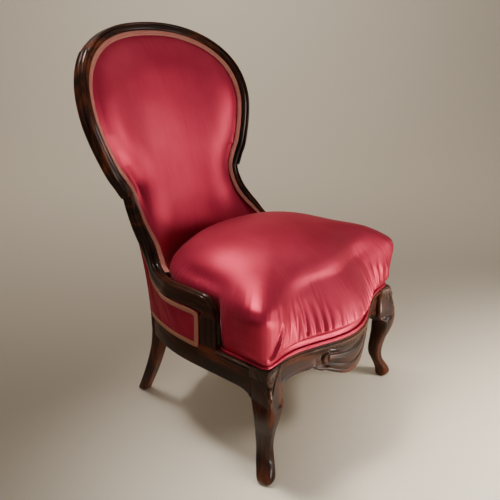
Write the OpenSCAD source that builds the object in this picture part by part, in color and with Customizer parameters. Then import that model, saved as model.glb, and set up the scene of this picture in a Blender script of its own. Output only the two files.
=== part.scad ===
// Balloon back nursing chair: a show-wood frame, a sprung seat and an upholstered back
// Millimetres, +Z up, the sitter faces -Y, and left and right are the sitter's own

/* [Back] */
// Height of the top of the back's opening
crest_h = 905; // [860:5:950]
// Height at which the back is widest
belly_h = 735; // [700:5:770]
// Half the width of the opening at its widest
belly_half_w = 251; // [235:1:270]
// Height of the waist, where the stiles meet the arms
waist_h = 515; // [490:5:540]
// Half the width of the opening at the waist
waist_half_w = 179; // [165:1:195]
// How far the sides of the back lie behind the middle of the seat at the waist
back_reach = 179; // [165:1:195]
// Lean of the back from upright, in degrees
back_lean = 17; // [12:1:21]
// How far the middle of the back lies behind its sides
back_hollow = 62; // [40:1:80]
// Width of the moulded face at the middle of the crest
crest_w = 22; // [20:1:30]
// Width of the moulded face of the stiles
stile_w = 26; // [24:1:34]
// Thickness of the crest and the stiles, front to back
stile_t = 27; // [24:1:32]
// Length of the small ears at the foot of the stiles
ear_len = 14; // [10:1:24]
// How much the stiles narrow over their ears
ear_step = 2; // [1:1:4]

/* [Arms] */
// Height of the top of the arms
arm_h = 394; // [370:2:420]
// Half the width between the arms
arm_half_w = 244; // [236:1:252]
// Width of the moulded top of the arms
arm_w = 23; // [20:1:28]
// Width of the arms' moulded face under the stiles
arm_head_w = 18; // [15:1:22]
// Depth of the arms below their top
arm_t = 38; // [32:1:42]
// Radius of the bend from the arms into their posts
arm_bend_r = 46; // [42:1:60]
// Depth of the arm posts, front to back
post_t = 48; // [44:1:54]
// How far the front of the arm posts lies before the middle of the seat
arm_reach = 113; // [90:1:130]

/* [Seat frame] */
// Height of the top of the seat rails
rail_h = 277; // [260:1:300]
// Height of the seat rails
rail_depth = 64; // [50:1:80]
// Thickness of the seat rails
rail_t = 28; // [22:1:32]
// How far the front of the seat's corners lies before the middle of the seat
corner_reach = 252; // [235:1:275]
// How far the front rail bows out beyond the corners
bow = 60; // [30:1:70]
// Half the width of the bow
bow_half_w = 215; // [170:1:220]
// Depth of the apron's middle below the top of the rails
apron_depth = 106; // [80:1:120]
// Half the width of the apron's drop
apron_half_w = 140; // [110:1:160]
// Depth of the front rail beside the apron
apron_side_depth = 56; // [46:1:66]
// Width of the upper part of the rear legs, inside the back
post_w = 20; // [18:1:24]
// Depth of the cove and the ribs on the front rail
carve_depth = 7; // [3:1:10]
// Half the width of the ribbed panel on the apron
panel_half_w = 84; // [60:1:100]
// How far the rear of the seat lies behind its middle
rear_reach = 147; // [135:1:165]
// How far the sides of the seat draw in at the rear
side_draw = 49; // [30:1:60]
// How far the rear rail bows out beyond the rear legs
rear_bow = 53; // [30:1:65]

/* [Legs] */
// Half the distance between the middles of the front feet
front_foot_half_w = 266; // [258:1:275]
// Half the thickness of the front legs where the rails meet them
knee_half = 23; // [20:1:28]
// Half the thickness of the front legs at the ankle
ankle_half = 17; // [13:1:20]
// Half the thickness of the front feet
foot_half = 19; // [15:1:22]
// How far the knees stand out beyond the feet, across the corner
knee_out = 22; // [10:1:30]
// Half the distance between the middles of the rear feet
rear_foot_half_w = 203; // [190:1:215]
// Thickness of the rear legs under the rails
rear_leg_t = 34; // [28:1:40]
// Thickness of the rear feet
rear_foot_t = 28; // [24:1:34]
// How far the rear feet stand behind the rear legs' upper part
foot_rake = 82; // [50:1:100]

/* [Upholstery] */
// Height of the middle of the seat
seat_h = 478; // [450:2:500]
// Height of the rounded edge of the seat
seat_edge_h = 412; // [390:2:430]
// Half the width of the seat before the arms
seat_half_w = 262; // [250:1:266]
// Radius of the seat's front corners in plan
seat_corner_r = 17; // [12:1:26]
// How far the seat's front corners bulge over the rails
corner_puff = 18; // [0:1:22]
// How far the seat is drawn in above its piping
seat_tuck = 9; // [3:1:12]
// Depth of the gathers along the front of the seat
gather_depth = 2.4; // [0:0.2:4]
// How far the padding of the back stands out before its edge
back_crown = 30; // [15:1:40]
// Thickness of the covering cloth with its lining
cloth_t = 2; // [1:0.5:3]
// Width of the gimp braid
gimp_w = 12; // [8:1:14]
// Thickness of the gimp braid
gimp_t = 1.6; // [1:0.2:2.4]
// Thickness of the piping round the seat
piping_d = 5; // [4:0.5:7]
// Width of the webbing
web_w = 50; // [40:1:56]
// Thickness of the webbing
web_t = 1.8; // [1.2:0.2:2.4]
// Straps each way in the seat
web_count = 4; // [3:1:4]
// Thickness of the hessian
hessian_t = 1.5; // [1:0.5:2.5]
// Thickness of the stuffing on the seat's sides
side_stuffing = 24; // [16:1:30]

/* [Springs] */
// Springs each way
spring_count = 3; // [2:1:3]
// Diameter of a spring at its ends
spring_d = 84; // [70:1:90]
// Diameter of a spring at its waist
spring_waist_d = 50; // [40:1:60]
// Thickness of the spring wire
wire_d = 3.6; // [3:0.2:4.4]
// Turns of a spring
spring_turns = 4; // [4:1:6]
// Distance between the middles of the springs
spring_pitch = 94; // [92:1:100]

/* [Joinery] */
// Diameter of the dowels
dowel_d = 9; // [8:0.5:10]
// Length of the dowels
dowel_len = 44; // [36:1:50]
// Length of the corner blocks along the rails
block_len = 46; // [36:1:50]
// Height of the corner blocks
block_h = 40; // [30:1:46]
// Diameter of the screws' shanks
screw_d = 5; // [4:0.5:6]
// Length of the screws
screw_len = 40; // [34:1:46]
// How far the screws bite into the rails
screw_bite = 15; // [10:1:20]

/* [Hidden] */

// Colours of the materials
mahogany = "#3b2019";
beech = "#b58e62";
satin = "#b0384a";
braid = "#b0695c";
jute = "#a68a5c";
hair = "#5a4632";
steel = "#7d7f80";

// Clearance between pieces that fit together, and the overrun of cuts
fit_gap = 0.3;
overrun = 1;
$fn = 32;

// Small helpers
function mix(a, b, t) = a + (b - a) * t;
function unit(v) = v / norm(v);
function clamp(t) = max(0, min(1, t));
function smooth(t) = let (c = clamp(t)) c * c * (3 - 2 * c);
function flip(p) = [-p[0], p[1], p[2]];
function curve_point(a, b, c, d, t) =
    (2 * b + (c - a) * t + (2 * a - 5 * b + 4 * c - d) * t * t
     + (3 * b - a - 3 * c + d) * t * t * t) / 2;
function curve(knots, steps) =
    [for (i = [0 : len(knots) - 2], s = [0 : steps - 1])
        curve_point(knots[max(i - 1, 0)], knots[i], knots[i + 1],
                    knots[min(i + 2, len(knots) - 1)], s / steps),
     knots[len(knots) - 1]];

// The chair is built about the middle of its seat and set back over its own middle
crest_rear = back_reach + back_hollow + (crest_h - waist_h) * tan(back_lean)
    + stile_t * cos(back_lean) + crest_w * sin(back_lean);
origin_y = (crest_rear - corner_reach - bow) / 2;
module placed() { translate([0, -origin_y, 0]) children(); }
module on_side(side) { mirror([side > 0 ? 0 : 1, 0, 0]) children(); }

// A solid through closed rings of points, capped at both ends, with a choice of how its quads
// are split, so that the faces of two solids one inside the other can run alike
module loft(rings, split = 0) {
    n = len(rings[0]);
    last = (len(rings) - 1) * n;
    sides = [for (i = [0 : len(rings) - 2], j = [0 : n - 1])
        let (a = i * n + j, b = i * n + (j + 1) % n)
        each (split == 0 ? [[a, b, b + n], [a, b + n, a + n]] : [[a, b, a + n], [b, b + n, a + n]])];
    polyhedron([for (r = rings) each r],
        concat(sides, [[for (j = [n - 1 : -1 : 0]) j]], [[for (j = [0 : n - 1]) last + j]]));
}

// A ring of points that runs the other way round
function turned(ring) = [for (i = [len(ring) - 1 : -1 : 0]) ring[i]];

// A sheet between two grids of points, which run alike and are split alike
module sheet(front, back) {
    rows = len(front);
    cols = len(front[0]);
    n = rows * cols;
    last = n - cols;
    faces = [for (i = [0 : rows - 2], j = [0 : cols - 2])
        let (a = i * cols + j, b = a + 1, c = a + cols, d = c + 1)
        each [[a, b, d], [a, d, c], [n + a, n + d, n + b], [n + a, n + c, n + d]]];
    ends = [for (j = [0 : cols - 2]) let (a = j, b = j + 1, c = last + j, d = last + j + 1)
        each [[n + a, n + b, b], [n + a, b, a], [c, d, n + d], [c, n + d, n + c]]];
    sides = [for (i = [0 : rows - 2])
        let (a = i * cols, b = a + cols - 1, c = a + cols, d = b + cols)
        each [[b, n + b, n + d], [b, n + d, d], [n + a, a, c], [n + a, c, n + c]]];
    polyhedron([for (g = [front, back]) each [for (r = g) each r]], concat(faces, ends, sides));
}

// Plates cut from a side view of Y and Z, and from a front view of X and Z
module side_view(points, x0, x1) {
    translate([x0, 0, 0]) rotate([90, 0, 90]) linear_extrude(x1 - x0) polygon(points);
}
module front_view(points, y0, y1) {
    translate([0, y1, 0]) rotate([90, 0, 0]) linear_extrude(y1 - y0) polygon(points);
}

// Back frame: the inner edge of its face, from the middle of the crest to the arm's bend
crest_power = 2.3;
crest_angles = [90, 84, 77, 69, 60, 51, 42, 33, 24, 16, 8, 0];
stile_shares = [[0.96, 0.87], [0.80, 0.67], [0.51, 0.42], [0.25, 0.28], [0.04, 0.14]];
sweep_shares = [
    [0.015, 0.054, 0.27], [0.08, 0.126, 0.48], [0.17, 0.197, 0.645], [0.35, 0.275, 0.87],
    [0.52, 0.34, 0.99], [0.76, 0.464, 1.04], [0.92, 0.56, 1.02]
];
function back_y(x, z) = back_reach + (z - waist_h) * tan(back_lean)
    + back_hollow * (1 - pow(x / belly_half_w, 2));
function on_back(x, z) = [x, back_y(x, z), z];

waist_point = on_back(waist_half_w, waist_h);
bend_start = [arm_half_w, arm_bend_r - arm_reach, arm_h];
crest_path = [for (a = crest_angles)
    on_back(belly_half_w * pow(cos(a), 2 / crest_power),
            belly_h + (crest_h - belly_h) * pow(sin(a), 2 / crest_power))];
stile_knots = concat([crest_path[len(crest_angles) - 1]],
    [for (s = stile_shares) on_back(mix(waist_half_w, belly_half_w, s[0]),
                                    mix(waist_h, belly_h, s[1]))], [waist_point]);
sweep_knots = concat([waist_point],
    [for (s = sweep_shares) [mix(waist_half_w, arm_half_w, s[0]),
                             mix(waist_point[1], -arm_reach, s[1]),
                             mix(waist_h, arm_h, s[2])]],
    [mix([arm_half_w, waist_point[1], arm_h], bend_start, 0.83), bend_start]);
bend_angles = [18, 36, 54, 72, 90];
bend_path = [for (a = bend_angles)
    bend_start + arm_bend_r * [0, -sin(a), cos(a) - 1]];
knot_steps = 2;
joined_knots = concat(stile_knots, [for (i = [1 : len(sweep_knots) - 1]) sweep_knots[i]]);
edge_path = concat([for (i = [0 : len(crest_path) - 2]) crest_path[i]],
                   curve(joined_knots, knot_steps), bend_path);

// Joints along that edge, by their places in it
crest_joint = 6;
waist_joint = len(crest_angles) - 1 + knot_steps * len(stile_shares);
sweep_end = len(crest_angles) - 1 + knot_steps * (len(joined_knots) - 1);
arm_joint = len(edge_path) - 1;

// Directions at each place: along the edge, out of the face, and outward across it
function along(i) = i == 0 ? [1, 0, 0]
    : i == arm_joint ? [0, 0, -1] : unit(edge_path[i + 1] - edge_path[i - 1]);
arm_guide = [0, -0.3, 1];
function face_guide(i) =
    let (p = edge_path[i],
         back = [-2 * back_hollow * p[0] / pow(belly_half_w, 2), -1, tan(back_lean)])
    mix(arm_guide, back, smooth((p[2] - arm_h) / (waist_h - arm_h)));
function face_out(i) = let (t = along(i), g = face_guide(i)) unit(g - (g * t) * t);
function across(i) = cross(face_out(i), along(i));

// Widths and thicknesses along the edge
edge_run = [for (i = 0, run = 0; i < len(edge_path); i = i + 1,
    run = run + (i < len(edge_path) ? norm(edge_path[i] - edge_path[i - 1]) : 0)) run];
function ear_share(i) = clamp(1 - (edge_run[waist_joint] - edge_run[i]) / ear_len);
function face_width(i) = i <= len(crest_angles) - 1
    ? mix(crest_w, stile_w, i / (len(crest_angles) - 1))
    : i <= waist_joint ? stile_w - ear_step * ear_share(i)
    : mix(arm_head_w, arm_w, smooth(3 * (i - waist_joint) / (sweep_end - waist_joint)));
function bend_share(i) = clamp((i - sweep_end) / len(bend_angles));
function face_depth(i) = i <= waist_joint ? stile_t
    : i <= sweep_end ? mix(stile_t, arm_t, smooth((i - waist_joint) / (sweep_end - waist_joint)))
    : mix(arm_t, post_t, pow(bend_share(i), 4));

// Moulding of the face as shares of its width and depth: fillet, band, cove and outer bead
face_shares = [
    [0, 0.1], [0.15, 0.1], [0.22, 0.02], [0.34, 0], [0.44, 0.1], [0.53, 0.15], [0.62, 0.06],
    [0.74, -0.03], [0.88, 0], [0.98, 0.14], [1, 0.32], [1, 0.94], [0.95, 1], [0, 1]
];
function edge_point(i, out, deep) = edge_path[i] + out * across(i) - deep * face_out(i);
function frame_ring(i, w, t) = [for (s = face_shares) edge_point(i, s[0] * w, s[1] * t)];
function frame_rings(first, last) =
    [for (i = [first : last]) frame_ring(i, face_width(i), face_depth(i))];
function mirrored_rings(rings) = [for (r = rings) [for (p = r) flip(p)]];

// Dowels across the frame's joints lie in the middle of the section, along the edge
module at_joint(i) {
    w = (i == waist_joint ? arm_head_w : face_width(i)) / 2;
    o = edge_point(i, w, face_depth(i) / 2);
    a = across(i);
    f = face_out(i);
    t = cross(a, f);
    multmatrix([[a[0], f[0], t[0], o[0]], [a[1], f[1], t[1], o[1]], [a[2], f[2], t[2], o[2]]])
        children();
}
module dowel(gap) {
    r = dowel_d / 2 + gap;
    l = dowel_len + 2 * gap;
    translate([0, 0, -l / 2]) cylinder(l, r, r);
}

module crest_rail() {
    half = frame_rings(0, crest_joint);
    color(mahogany) placed() difference() {
        loft(concat([for (i = [crest_joint : -1 : 1]) mirrored_rings(half)[i]], half));
        for (side = [-1, 1]) on_side(side) at_joint(crest_joint) dowel(fit_gap);
    }
}

module upper_stile(side) {
    color(mahogany) placed() on_side(side) difference() {
        loft(frame_rings(crest_joint, waist_joint));
        at_joint(crest_joint) dowel(fit_gap);
        at_joint(waist_joint) dowel(fit_gap);
    }
}

module arm_rail(side) {
    first = frame_ring(waist_joint, arm_head_w, face_depth(waist_joint));
    color(mahogany) placed() on_side(side) difference() {
        loft(concat([first], frame_rings(waist_joint + 1, arm_joint)));
        at_joint(waist_joint) dowel(fit_gap);
        at_joint(arm_joint) dowel(fit_gap);
    }
}

// Arm posts stand on the side rails and carry the arms
post_top = arm_h - arm_bend_r;
post_plan = [for (s = face_shares) [arm_half_w + s[0] * arm_w, -arm_reach + s[1] * post_t]];
module arm_post(side) {
    color(mahogany) placed() on_side(side) difference() {
        translate([0, 0, rail_h]) linear_extrude(post_top - rail_h) polygon(post_plan);
        at_joint(arm_joint) dowel(fit_gap);
        post_foot_dowel() dowel(fit_gap);
    }
}
module post_foot_dowel() {
    translate([arm_half_w + arm_w / 2, post_t / 2 - arm_reach, rail_h]) children();
}

// Front legs: rings with rounded corners stacked up the leg, each one set out from the foot's
// middle across the corner of the chair by how far its outer, side and inner corners lie
leg_drop = rail_h - rail_depth;
leg_axis = [front_foot_half_w, -corner_reach, 0];
corner_way = [1, -1, 0] / sqrt(2);
side_way = [1, 1, 0] / sqrt(2);
rail_flare = 16;
block_half = knee_half * sqrt(2);
block_mid = -1.35 * knee_half;
leg_mid = leg_axis + block_mid * corner_way;
leg_inner_x = leg_mid[0] - knee_half;
leg_outer_x = leg_mid[0] + knee_half;
leg_rear_y = leg_mid[1] + knee_half;
leg_front_y = leg_mid[1] - knee_half;
function corner_bend(before, corner, after, round) =
    [for (t = [0 : 0.25 : 1])
        let (a = mix(corner, before, round), b = mix(corner, after, round))
        mix(mix(a, corner, t), mix(corner, b, t), t)];
function leg_ring(z, out, mid, in, half, round) =
    let (k = 1 - round / 2, w = half / k,
         corners = [[(out - mid) / k + mid, 0], [mid, w], [(in - mid) / k + mid, 0], [mid, -w]],
         flat = [for (q = [0 : 3])
             each corner_bend(corners[(q + 3) % 4], corners[q], corners[(q + 1) % 4], round)])
    [for (p = flat) leg_axis + [0, 0, z] + p[0] * corner_way + p[1] * side_way];
block_in = block_mid - block_half;
ankle_in = ankle_half * 1.3;
soft_corner = 0.42;
crisp_corner = 0.16;
leg_rings = [
    leg_ring(0, foot_half * 0.9, 0, -foot_half * 0.6, foot_half * 0.8, soft_corner),
    leg_ring(leg_drop * 0.025, foot_half * 1.25, foot_half * 0.2, -foot_half * 0.75, foot_half * 1.02,
             soft_corner),
    leg_ring(leg_drop * 0.07, foot_half * 1.25, foot_half * 0.15, -foot_half * 0.8, foot_half * 1.12,
             soft_corner),
    leg_ring(leg_drop * 0.15, foot_half * 0.75, -foot_half * 0.15, -foot_half * 1.1,
             foot_half * 1.1, soft_corner),
    leg_ring(leg_drop * 0.235, foot_half * 0.1, -ankle_in * 0.62, -foot_half * 1.55,
             ankle_half * 1.18, soft_corner),
    leg_ring(leg_drop * 0.33, -ankle_half * 0.18, -ankle_in * 0.95, -ankle_in - ankle_half,
             ankle_half * 1.12, soft_corner),
    leg_ring(leg_drop * 0.44, -ankle_half * 0.12, -ankle_in, -ankle_in * 1.1 - ankle_half,
             ankle_half * 1.18, soft_corner),
    leg_ring(leg_drop * 0.57, knee_out * 0.18, -ankle_in * 0.82, -ankle_in - ankle_half,
             ankle_half * 1.34, 0.36),
    leg_ring(leg_drop * 0.68, knee_out * 0.6, -ankle_in * 0.55, -ankle_in - ankle_half * 0.92,
             ankle_half * 1.52, 0.32),
    leg_ring(leg_drop * 0.785, knee_out * 0.92, -ankle_in * 0.4, -ankle_in - ankle_half * 0.94,
             knee_half * 1.24, 0.28),
    leg_ring(leg_drop * 0.87, knee_out, -ankle_in * 0.6, block_mid * 1.25, knee_half * 1.34, 0.26),
    leg_ring(leg_drop - rail_flare, knee_out * 0.98, block_mid * 0.95, block_in, block_half * 0.98,
             crisp_corner),
    leg_ring(leg_drop, knee_out * 0.84, block_mid, block_in, block_half, crisp_corner),
    leg_ring(mix(leg_drop, rail_h, 0.45), knee_out * 0.46, block_mid, block_in, block_half,
             crisp_corner),
    leg_ring(mix(leg_drop, rail_h, 0.85), knee_out * 0.32, block_mid, block_in, block_half,
             crisp_corner),
    leg_ring(rail_h, knee_out * 0.1, block_mid, block_in, block_half, crisp_corner)
];

module front_leg(side) {
    color(mahogany) placed() on_side(side) difference() {
        loft(leg_rings);
        rail_dowel_places("front_leg") dowel(fit_gap);
    }
}

// Dowels between the rails and the legs, two to a joint, one above the other
dowel_z = [for (s = [0.3, 0.72]) leg_drop + rail_depth * s];
module rail_dowel_places(joint) {
    for (z = dowel_z) {
        if (joint == "front_leg" || joint == "front_rail" || joint == "all")
            translate([leg_inner_x, leg_front_y + rail_t * 0.62, z]) rotate([0, 90, 0]) children();
        if (joint == "front_leg" || joint == "side_rail" || joint == "all")
            translate([leg_outer_x - rail_t * 0.62, leg_rear_y, z]) rotate([90, 0, 0]) children();
        if (joint == "rear_leg" || joint == "side_rail" || joint == "all")
            translate([side_x(rear_reach) - dowel_d / 2, rear_leg_front_y, z])
                rotate([90, 0, 0]) children();
        if (joint == "rear_leg" || joint == "rear_rail" || joint == "all")
            translate([rear_leg_in_x, rear_dowel_y, z])
                rotate([0, 90, -rear_dowel_turn]) children();
    }
}

// Seat plan: the serpentine front and the sides that draw in to the rear
function front_y(x) = -corner_reach - bow * (1 + cos(180 * min(1, abs(x) / bow_half_w))) / 2;
draw_start = 60;
draw_power = 2.4;
function side_x(y) = leg_outer_x
    - side_draw * pow(max(0, (y + draw_start) / (rear_reach + draw_start)), draw_power);
function rear_y(x) = rear_reach + rear_bow * (1 - pow(x / side_x(rear_reach), 2));

// Front rail: a moulded lip and cove over an apron that drops to a ribbed panel
rail_end_x = leg_inner_x;
apron_flare = 20;
function apron_z(x) =
    let (a = abs(x),
         drop = mix(apron_side_depth, apron_depth, 1 - smooth(a / apron_half_w)),
         flare = apron_flare * pow(clamp((a - apron_half_w) / (rail_end_x - apron_half_w)), 4))
    rail_h - drop - flare;
carve_shares = [
    [0, 0.25], [0.04, 0], [0.11, 0], [0.15, 0.55], [0.21, 0.95], [0.28, 0.9], [0.34, 0.5],
    [0.41, 0.42], [0.48, 0.4], [0.55, 0.4], [0.62, 0.4], [0.69, 0.4], [0.76, 0.42],
    [0.83, 0.45], [0.9, 0.55], [0.96, 0.8], [1, 1.3]
];
panel_first = 6;
panel_last = 14;
function panel_share(x) = smooth((panel_half_w - abs(x)) / carve_depth);
function carve(k, x) =
    carve_depth * (carve_shares[k][1] - (k >= panel_first && k <= panel_last
        ? panel_share(x) * (k % 2 == 0 ? 0.75 : 0.15) : 0));
function rail_ring(x) =
    let (y = front_y(x), low = apron_z(x))
    concat([for (k = [0 : len(carve_shares) - 1])
               [x, y + carve(k, x), mix(rail_h, low, carve_shares[k][0])]],
           [[x, y + rail_t, low], [x, y + rail_t, rail_h]]);
rail_stations = 20;
rail_xs = [for (i = [-rail_stations : rail_stations]) rail_end_x * i / rail_stations];

module front_rail() {
    color(mahogany) placed() difference() {
        loft([for (x = rail_xs) turned(rail_ring(x))]);
        for (side = [-1, 1]) on_side(side) {
            rail_dowel_places("front_rail") dowel(fit_gap);
            block_screw_place("front") screw_hole();
        }
    }
}

// Side rails: curved in plan, with a rebate for the side panel's cloth
panel_rise = 14;
panel_low = rail_h - panel_rise;
rebate = 4;
side_steps = 12;
post_rear_y = post_t - arm_reach;
rear_leg_y = rear_reach - rear_leg_t / 2;
rear_leg_front_y = rear_reach - rear_leg_t;
rear_leg_in_x = side_x(rear_reach) - rear_leg_t;
rear_dowel_y = (rear_y(rear_leg_in_x) - rail_t + rear_reach) / 2;
rear_dowel_turn = atan(2 * rear_bow * rear_leg_in_x / pow(side_x(rear_reach), 2));
side_ys = [for (i = [0 : side_steps]) mix(leg_rear_y, rear_leg_front_y, i / side_steps)];
function side_plan(in) = concat(
    [for (y = side_ys) if (y < post_rear_y) [side_x(y), y]],
    [for (r = [0, in]) [side_x(post_rear_y) - r, post_rear_y]],
    [for (y = side_ys) if (y > post_rear_y) [side_x(y) - in, y]],
    [for (i = [side_steps : -1 : 0]) [side_x(side_ys[i]) - rail_t, side_ys[i]]]);
side_drop_shares = [[0, 1], [0.025, 0.5], [0.055, 0.18], [0.09, 0]];
side_elevation = concat(
    [for (s = side_drop_shares)
        [mix(leg_rear_y, rear_leg_front_y, s[0]), leg_drop - rail_flare * s[1]]],
    [[rear_leg_front_y, leg_drop], [rear_leg_front_y, rail_h], [leg_rear_y, rail_h]]);

module side_rail(side) {
    color(mahogany) placed() on_side(side) difference() {
        intersection() {
            union() {
                translate([0, 0, leg_drop - rail_flare])
                    linear_extrude(panel_low - leg_drop + rail_flare) polygon(side_plan(0));
                translate([0, 0, panel_low]) linear_extrude(rail_h - panel_low)
                    polygon(side_plan(rebate));
            }
            side_view(side_elevation, 0, leg_outer_x + overrun);
        }
        rail_dowel_places("side_rail") dowel(fit_gap);
        post_foot_dowel() dowel(fit_gap);
        block_screw_place("side") screw_hole();
    }
}

// Rear legs: sabre legs that run up inside the back to carry the arms
post_line_top = arm_h + arm_t / 3;
post_rake = 16;
post_in = rebate * 2 + 3;
function leg_line(z) = rear_leg_y + foot_rake * pow(1 - clamp(z / leg_drop), 1.35)
    + post_rake * pow(clamp((z - rail_h) / (post_line_top - rail_h)), 2);
leg_line_zs = concat([for (s = [0 : 0.125 : 1]) leg_drop * s], [leg_drop + rail_flare]);
function leg_thick(z) = mix(rear_foot_t, rear_leg_t, clamp(z / leg_drop));
rear_heads = [panel_low, rail_h, mix(rail_h, arm_h - arm_t, 0.6)];
function under_arm(y) =
    let (hits = [for (i = [waist_joint + 1 : sweep_end - 1])
        let (a = edge_point(i, 0, face_depth(i)), b = edge_point(i + 1, 0, face_depth(i + 1)))
        if (a[1] >= y && b[1] < y) mix(a[2], b[2], (a[1] - y) / (a[1] - b[1]))])
    min(hits) - 8 * fit_gap;
post_half = post_w * 0.55;
head_y = leg_line(post_line_top - arm_t);
sabre_side_view = concat(
    [for (z = leg_line_zs) [leg_line(z) - leg_thick(z) / 2, z]],
    turned([for (z = leg_line_zs) [leg_line(z) + leg_thick(z) / 2, z]]));
sabre_front_view = [
    [rear_foot_half_w - rear_foot_t / 2, 0], [rear_leg_in_x, leg_drop],
    [rear_leg_in_x, leg_drop + rail_flare], [side_x(rear_reach), leg_drop + rail_flare],
    [side_x(rear_reach), leg_drop], [rear_foot_half_w + rear_foot_t / 2, 0]
];
post_side_view = concat(
    [for (z = rear_heads) [leg_line(z) - post_half, z]],
    [for (s = [-1 : 0.5 : 1]) [head_y + s * post_half, under_arm(head_y + s * post_half)]],
    turned([for (z = rear_heads) [leg_line(z) + post_half, z]]));
function rear_block(in) = concat(
    [for (s = [0 : 0.25 : 1])
        let (y = mix(rear_leg_front_y, rear_reach, s)) [side_x(y) - in, y - in * s]],
    [for (s = [0.5, 1])
        let (x = mix(side_x(rear_reach), rear_leg_in_x, s)) [x - in * (1 - s), rear_y(x) - in]],
    [[rear_leg_in_x, rear_leg_front_y]]);

module rear_leg(side) {
    post_out_x = side_x(rear_reach) - post_in;
    color(mahogany) placed() on_side(side) difference() {
        union() {
            intersection() {
                side_view(sabre_side_view, 0, leg_outer_x);
                front_view(sabre_front_view, 0, rear_reach + foot_rake + rear_leg_t);
            }
            translate([0, 0, leg_drop]) linear_extrude(panel_low - leg_drop) polygon(rear_block(0));
            translate([0, 0, panel_low]) linear_extrude(rail_h - panel_low)
                polygon(rear_block(rebate));
            side_view(post_side_view, post_out_x - post_w, post_out_x);
        }
        rail_dowel_places("rear_leg") dowel(fit_gap);
    }
}

rear_steps = 8;
rear_rail_xs = [for (i = [-rear_steps : rear_steps]) rear_leg_in_x * i / rear_steps];
function rear_band(out, in) = concat([for (x = rear_rail_xs) [x, rear_y(x) - out]],
    turned([for (x = rear_rail_xs) [x, rear_y(x) - in]]));
module rear_rail() {
    color(mahogany) placed() difference() {
        union() {
            translate([0, 0, leg_drop]) linear_extrude(panel_low - leg_drop)
                polygon(rear_band(0, rail_t));
            translate([0, 0, panel_low]) linear_extrude(rail_h - panel_low)
                polygon(rear_band(rebate, rail_t));
        }
        for (side = [-1, 1]) on_side(side) rail_dowel_places("rear_rail") dowel(fit_gap);
    }
}

// Tacking rail between the rear legs, where the back's cloth is fixed behind the seat
foot_drop_share = 0.393;
foot_drop = (arm_h - rail_h) * foot_drop_share;
tack_rail_share = 0.29;
tack_rail_h = (arm_h - rail_h) * tack_rail_share;
tack_rail_t = 18;
tack_rail_in = 3;
tack_rail_top = arm_h - foot_drop - 10 * fit_gap;
module tacking_rail() {
    color(beech) placed() translate([0, 0, tack_rail_top - tack_rail_h]) linear_extrude(tack_rail_h)
        polygon(rear_band(tack_rail_in, tack_rail_in + tack_rail_t));
}

// Batten behind the front rail, level with the other rails, that holds the webbing's front ends
batten_w = 22;
batten_half = leg_inner_x - block_len - 2 * fit_gap;
batten_xs = [for (i = [-rear_steps : rear_steps]) batten_half * i / rear_steps];
module webbing_batten() {
    color(beech) placed() translate([0, 0, leg_drop]) linear_extrude(batten_w)
        polygon(concat([for (x = batten_xs) [x, front_y(x) + rail_t + fit_gap]],
            turned([for (x = batten_xs) [x, front_y(x) + rail_t + batten_w]])));
}

// Corner blocks inside the seat frame, each screwed to its rails
block_z = leg_drop + (rail_depth - block_h) / 2;
screw_head_d = screw_d * 1.8;
screw_head_h = screw_d * 0.6;
screw_in = 14;
front_block = [
    [leg_inner_x - fit_gap, leg_rear_y + fit_gap],
    [leg_outer_x - rail_t - fit_gap, leg_rear_y + fit_gap],
    [leg_outer_x - rail_t - fit_gap, leg_rear_y + block_len],
    each [for (s = [1 : -0.25 : 0]) let (x = leg_inner_x - block_len * s - fit_gap)
        [x, front_y(x) + rail_t + 2 * fit_gap]]
];
module block_screw_place(joint) {
    if (joint == "side" || joint == "all")
        translate([leg_outer_x - rail_t + screw_bite - screw_len, leg_rear_y + screw_in,
                   block_z + block_h / 2]) rotate([0, 90, 0]) children();
    if (joint == "front" || joint == "all")
        translate([leg_inner_x - screw_in,
                   front_y(leg_inner_x - screw_in) + rail_t - screw_bite + screw_len,
                   block_z + block_h / 2]) rotate([90, 0, 0]) children();
}
module screw() {
    cylinder(screw_head_h, screw_head_d / 2, screw_head_d / 2);
    translate([0, 0, screw_head_h]) cylinder(screw_len - screw_head_h, screw_d / 2, screw_d / 2);
}
module screw_hole() {
    r = screw_d / 2 + fit_gap;
    bore_r = screw_head_d / 2 + fit_gap;
    cylinder(screw_len + fit_gap, r, r);
    translate([0, 0, -block_len]) cylinder(block_len + screw_head_h + fit_gap, bore_r, bore_r);
}

module corner_blocks() {
    color(beech) placed() for (side = [-1, 1]) on_side(side) difference() {
        translate([0, 0, block_z]) linear_extrude(block_h) polygon(front_block);
        block_screw_place("all") screw_hole();
    }
}
module corner_screws() {
    color(steel) placed() for (side = [-1, 1]) on_side(side) block_screw_place("all") screw();
}
module frame_dowels() {
    color(beech) placed() for (side = [-1, 1]) on_side(side) {
        at_joint(crest_joint) dowel(0);
        at_joint(waist_joint) dowel(0);
        at_joint(arm_joint) dowel(0);
        post_foot_dowel() dowel(0);
    }
}
module rail_dowels() {
    color(beech) placed() for (side = [-1, 1]) on_side(side) rail_dowel_places("all") dowel(0);
}

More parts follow.
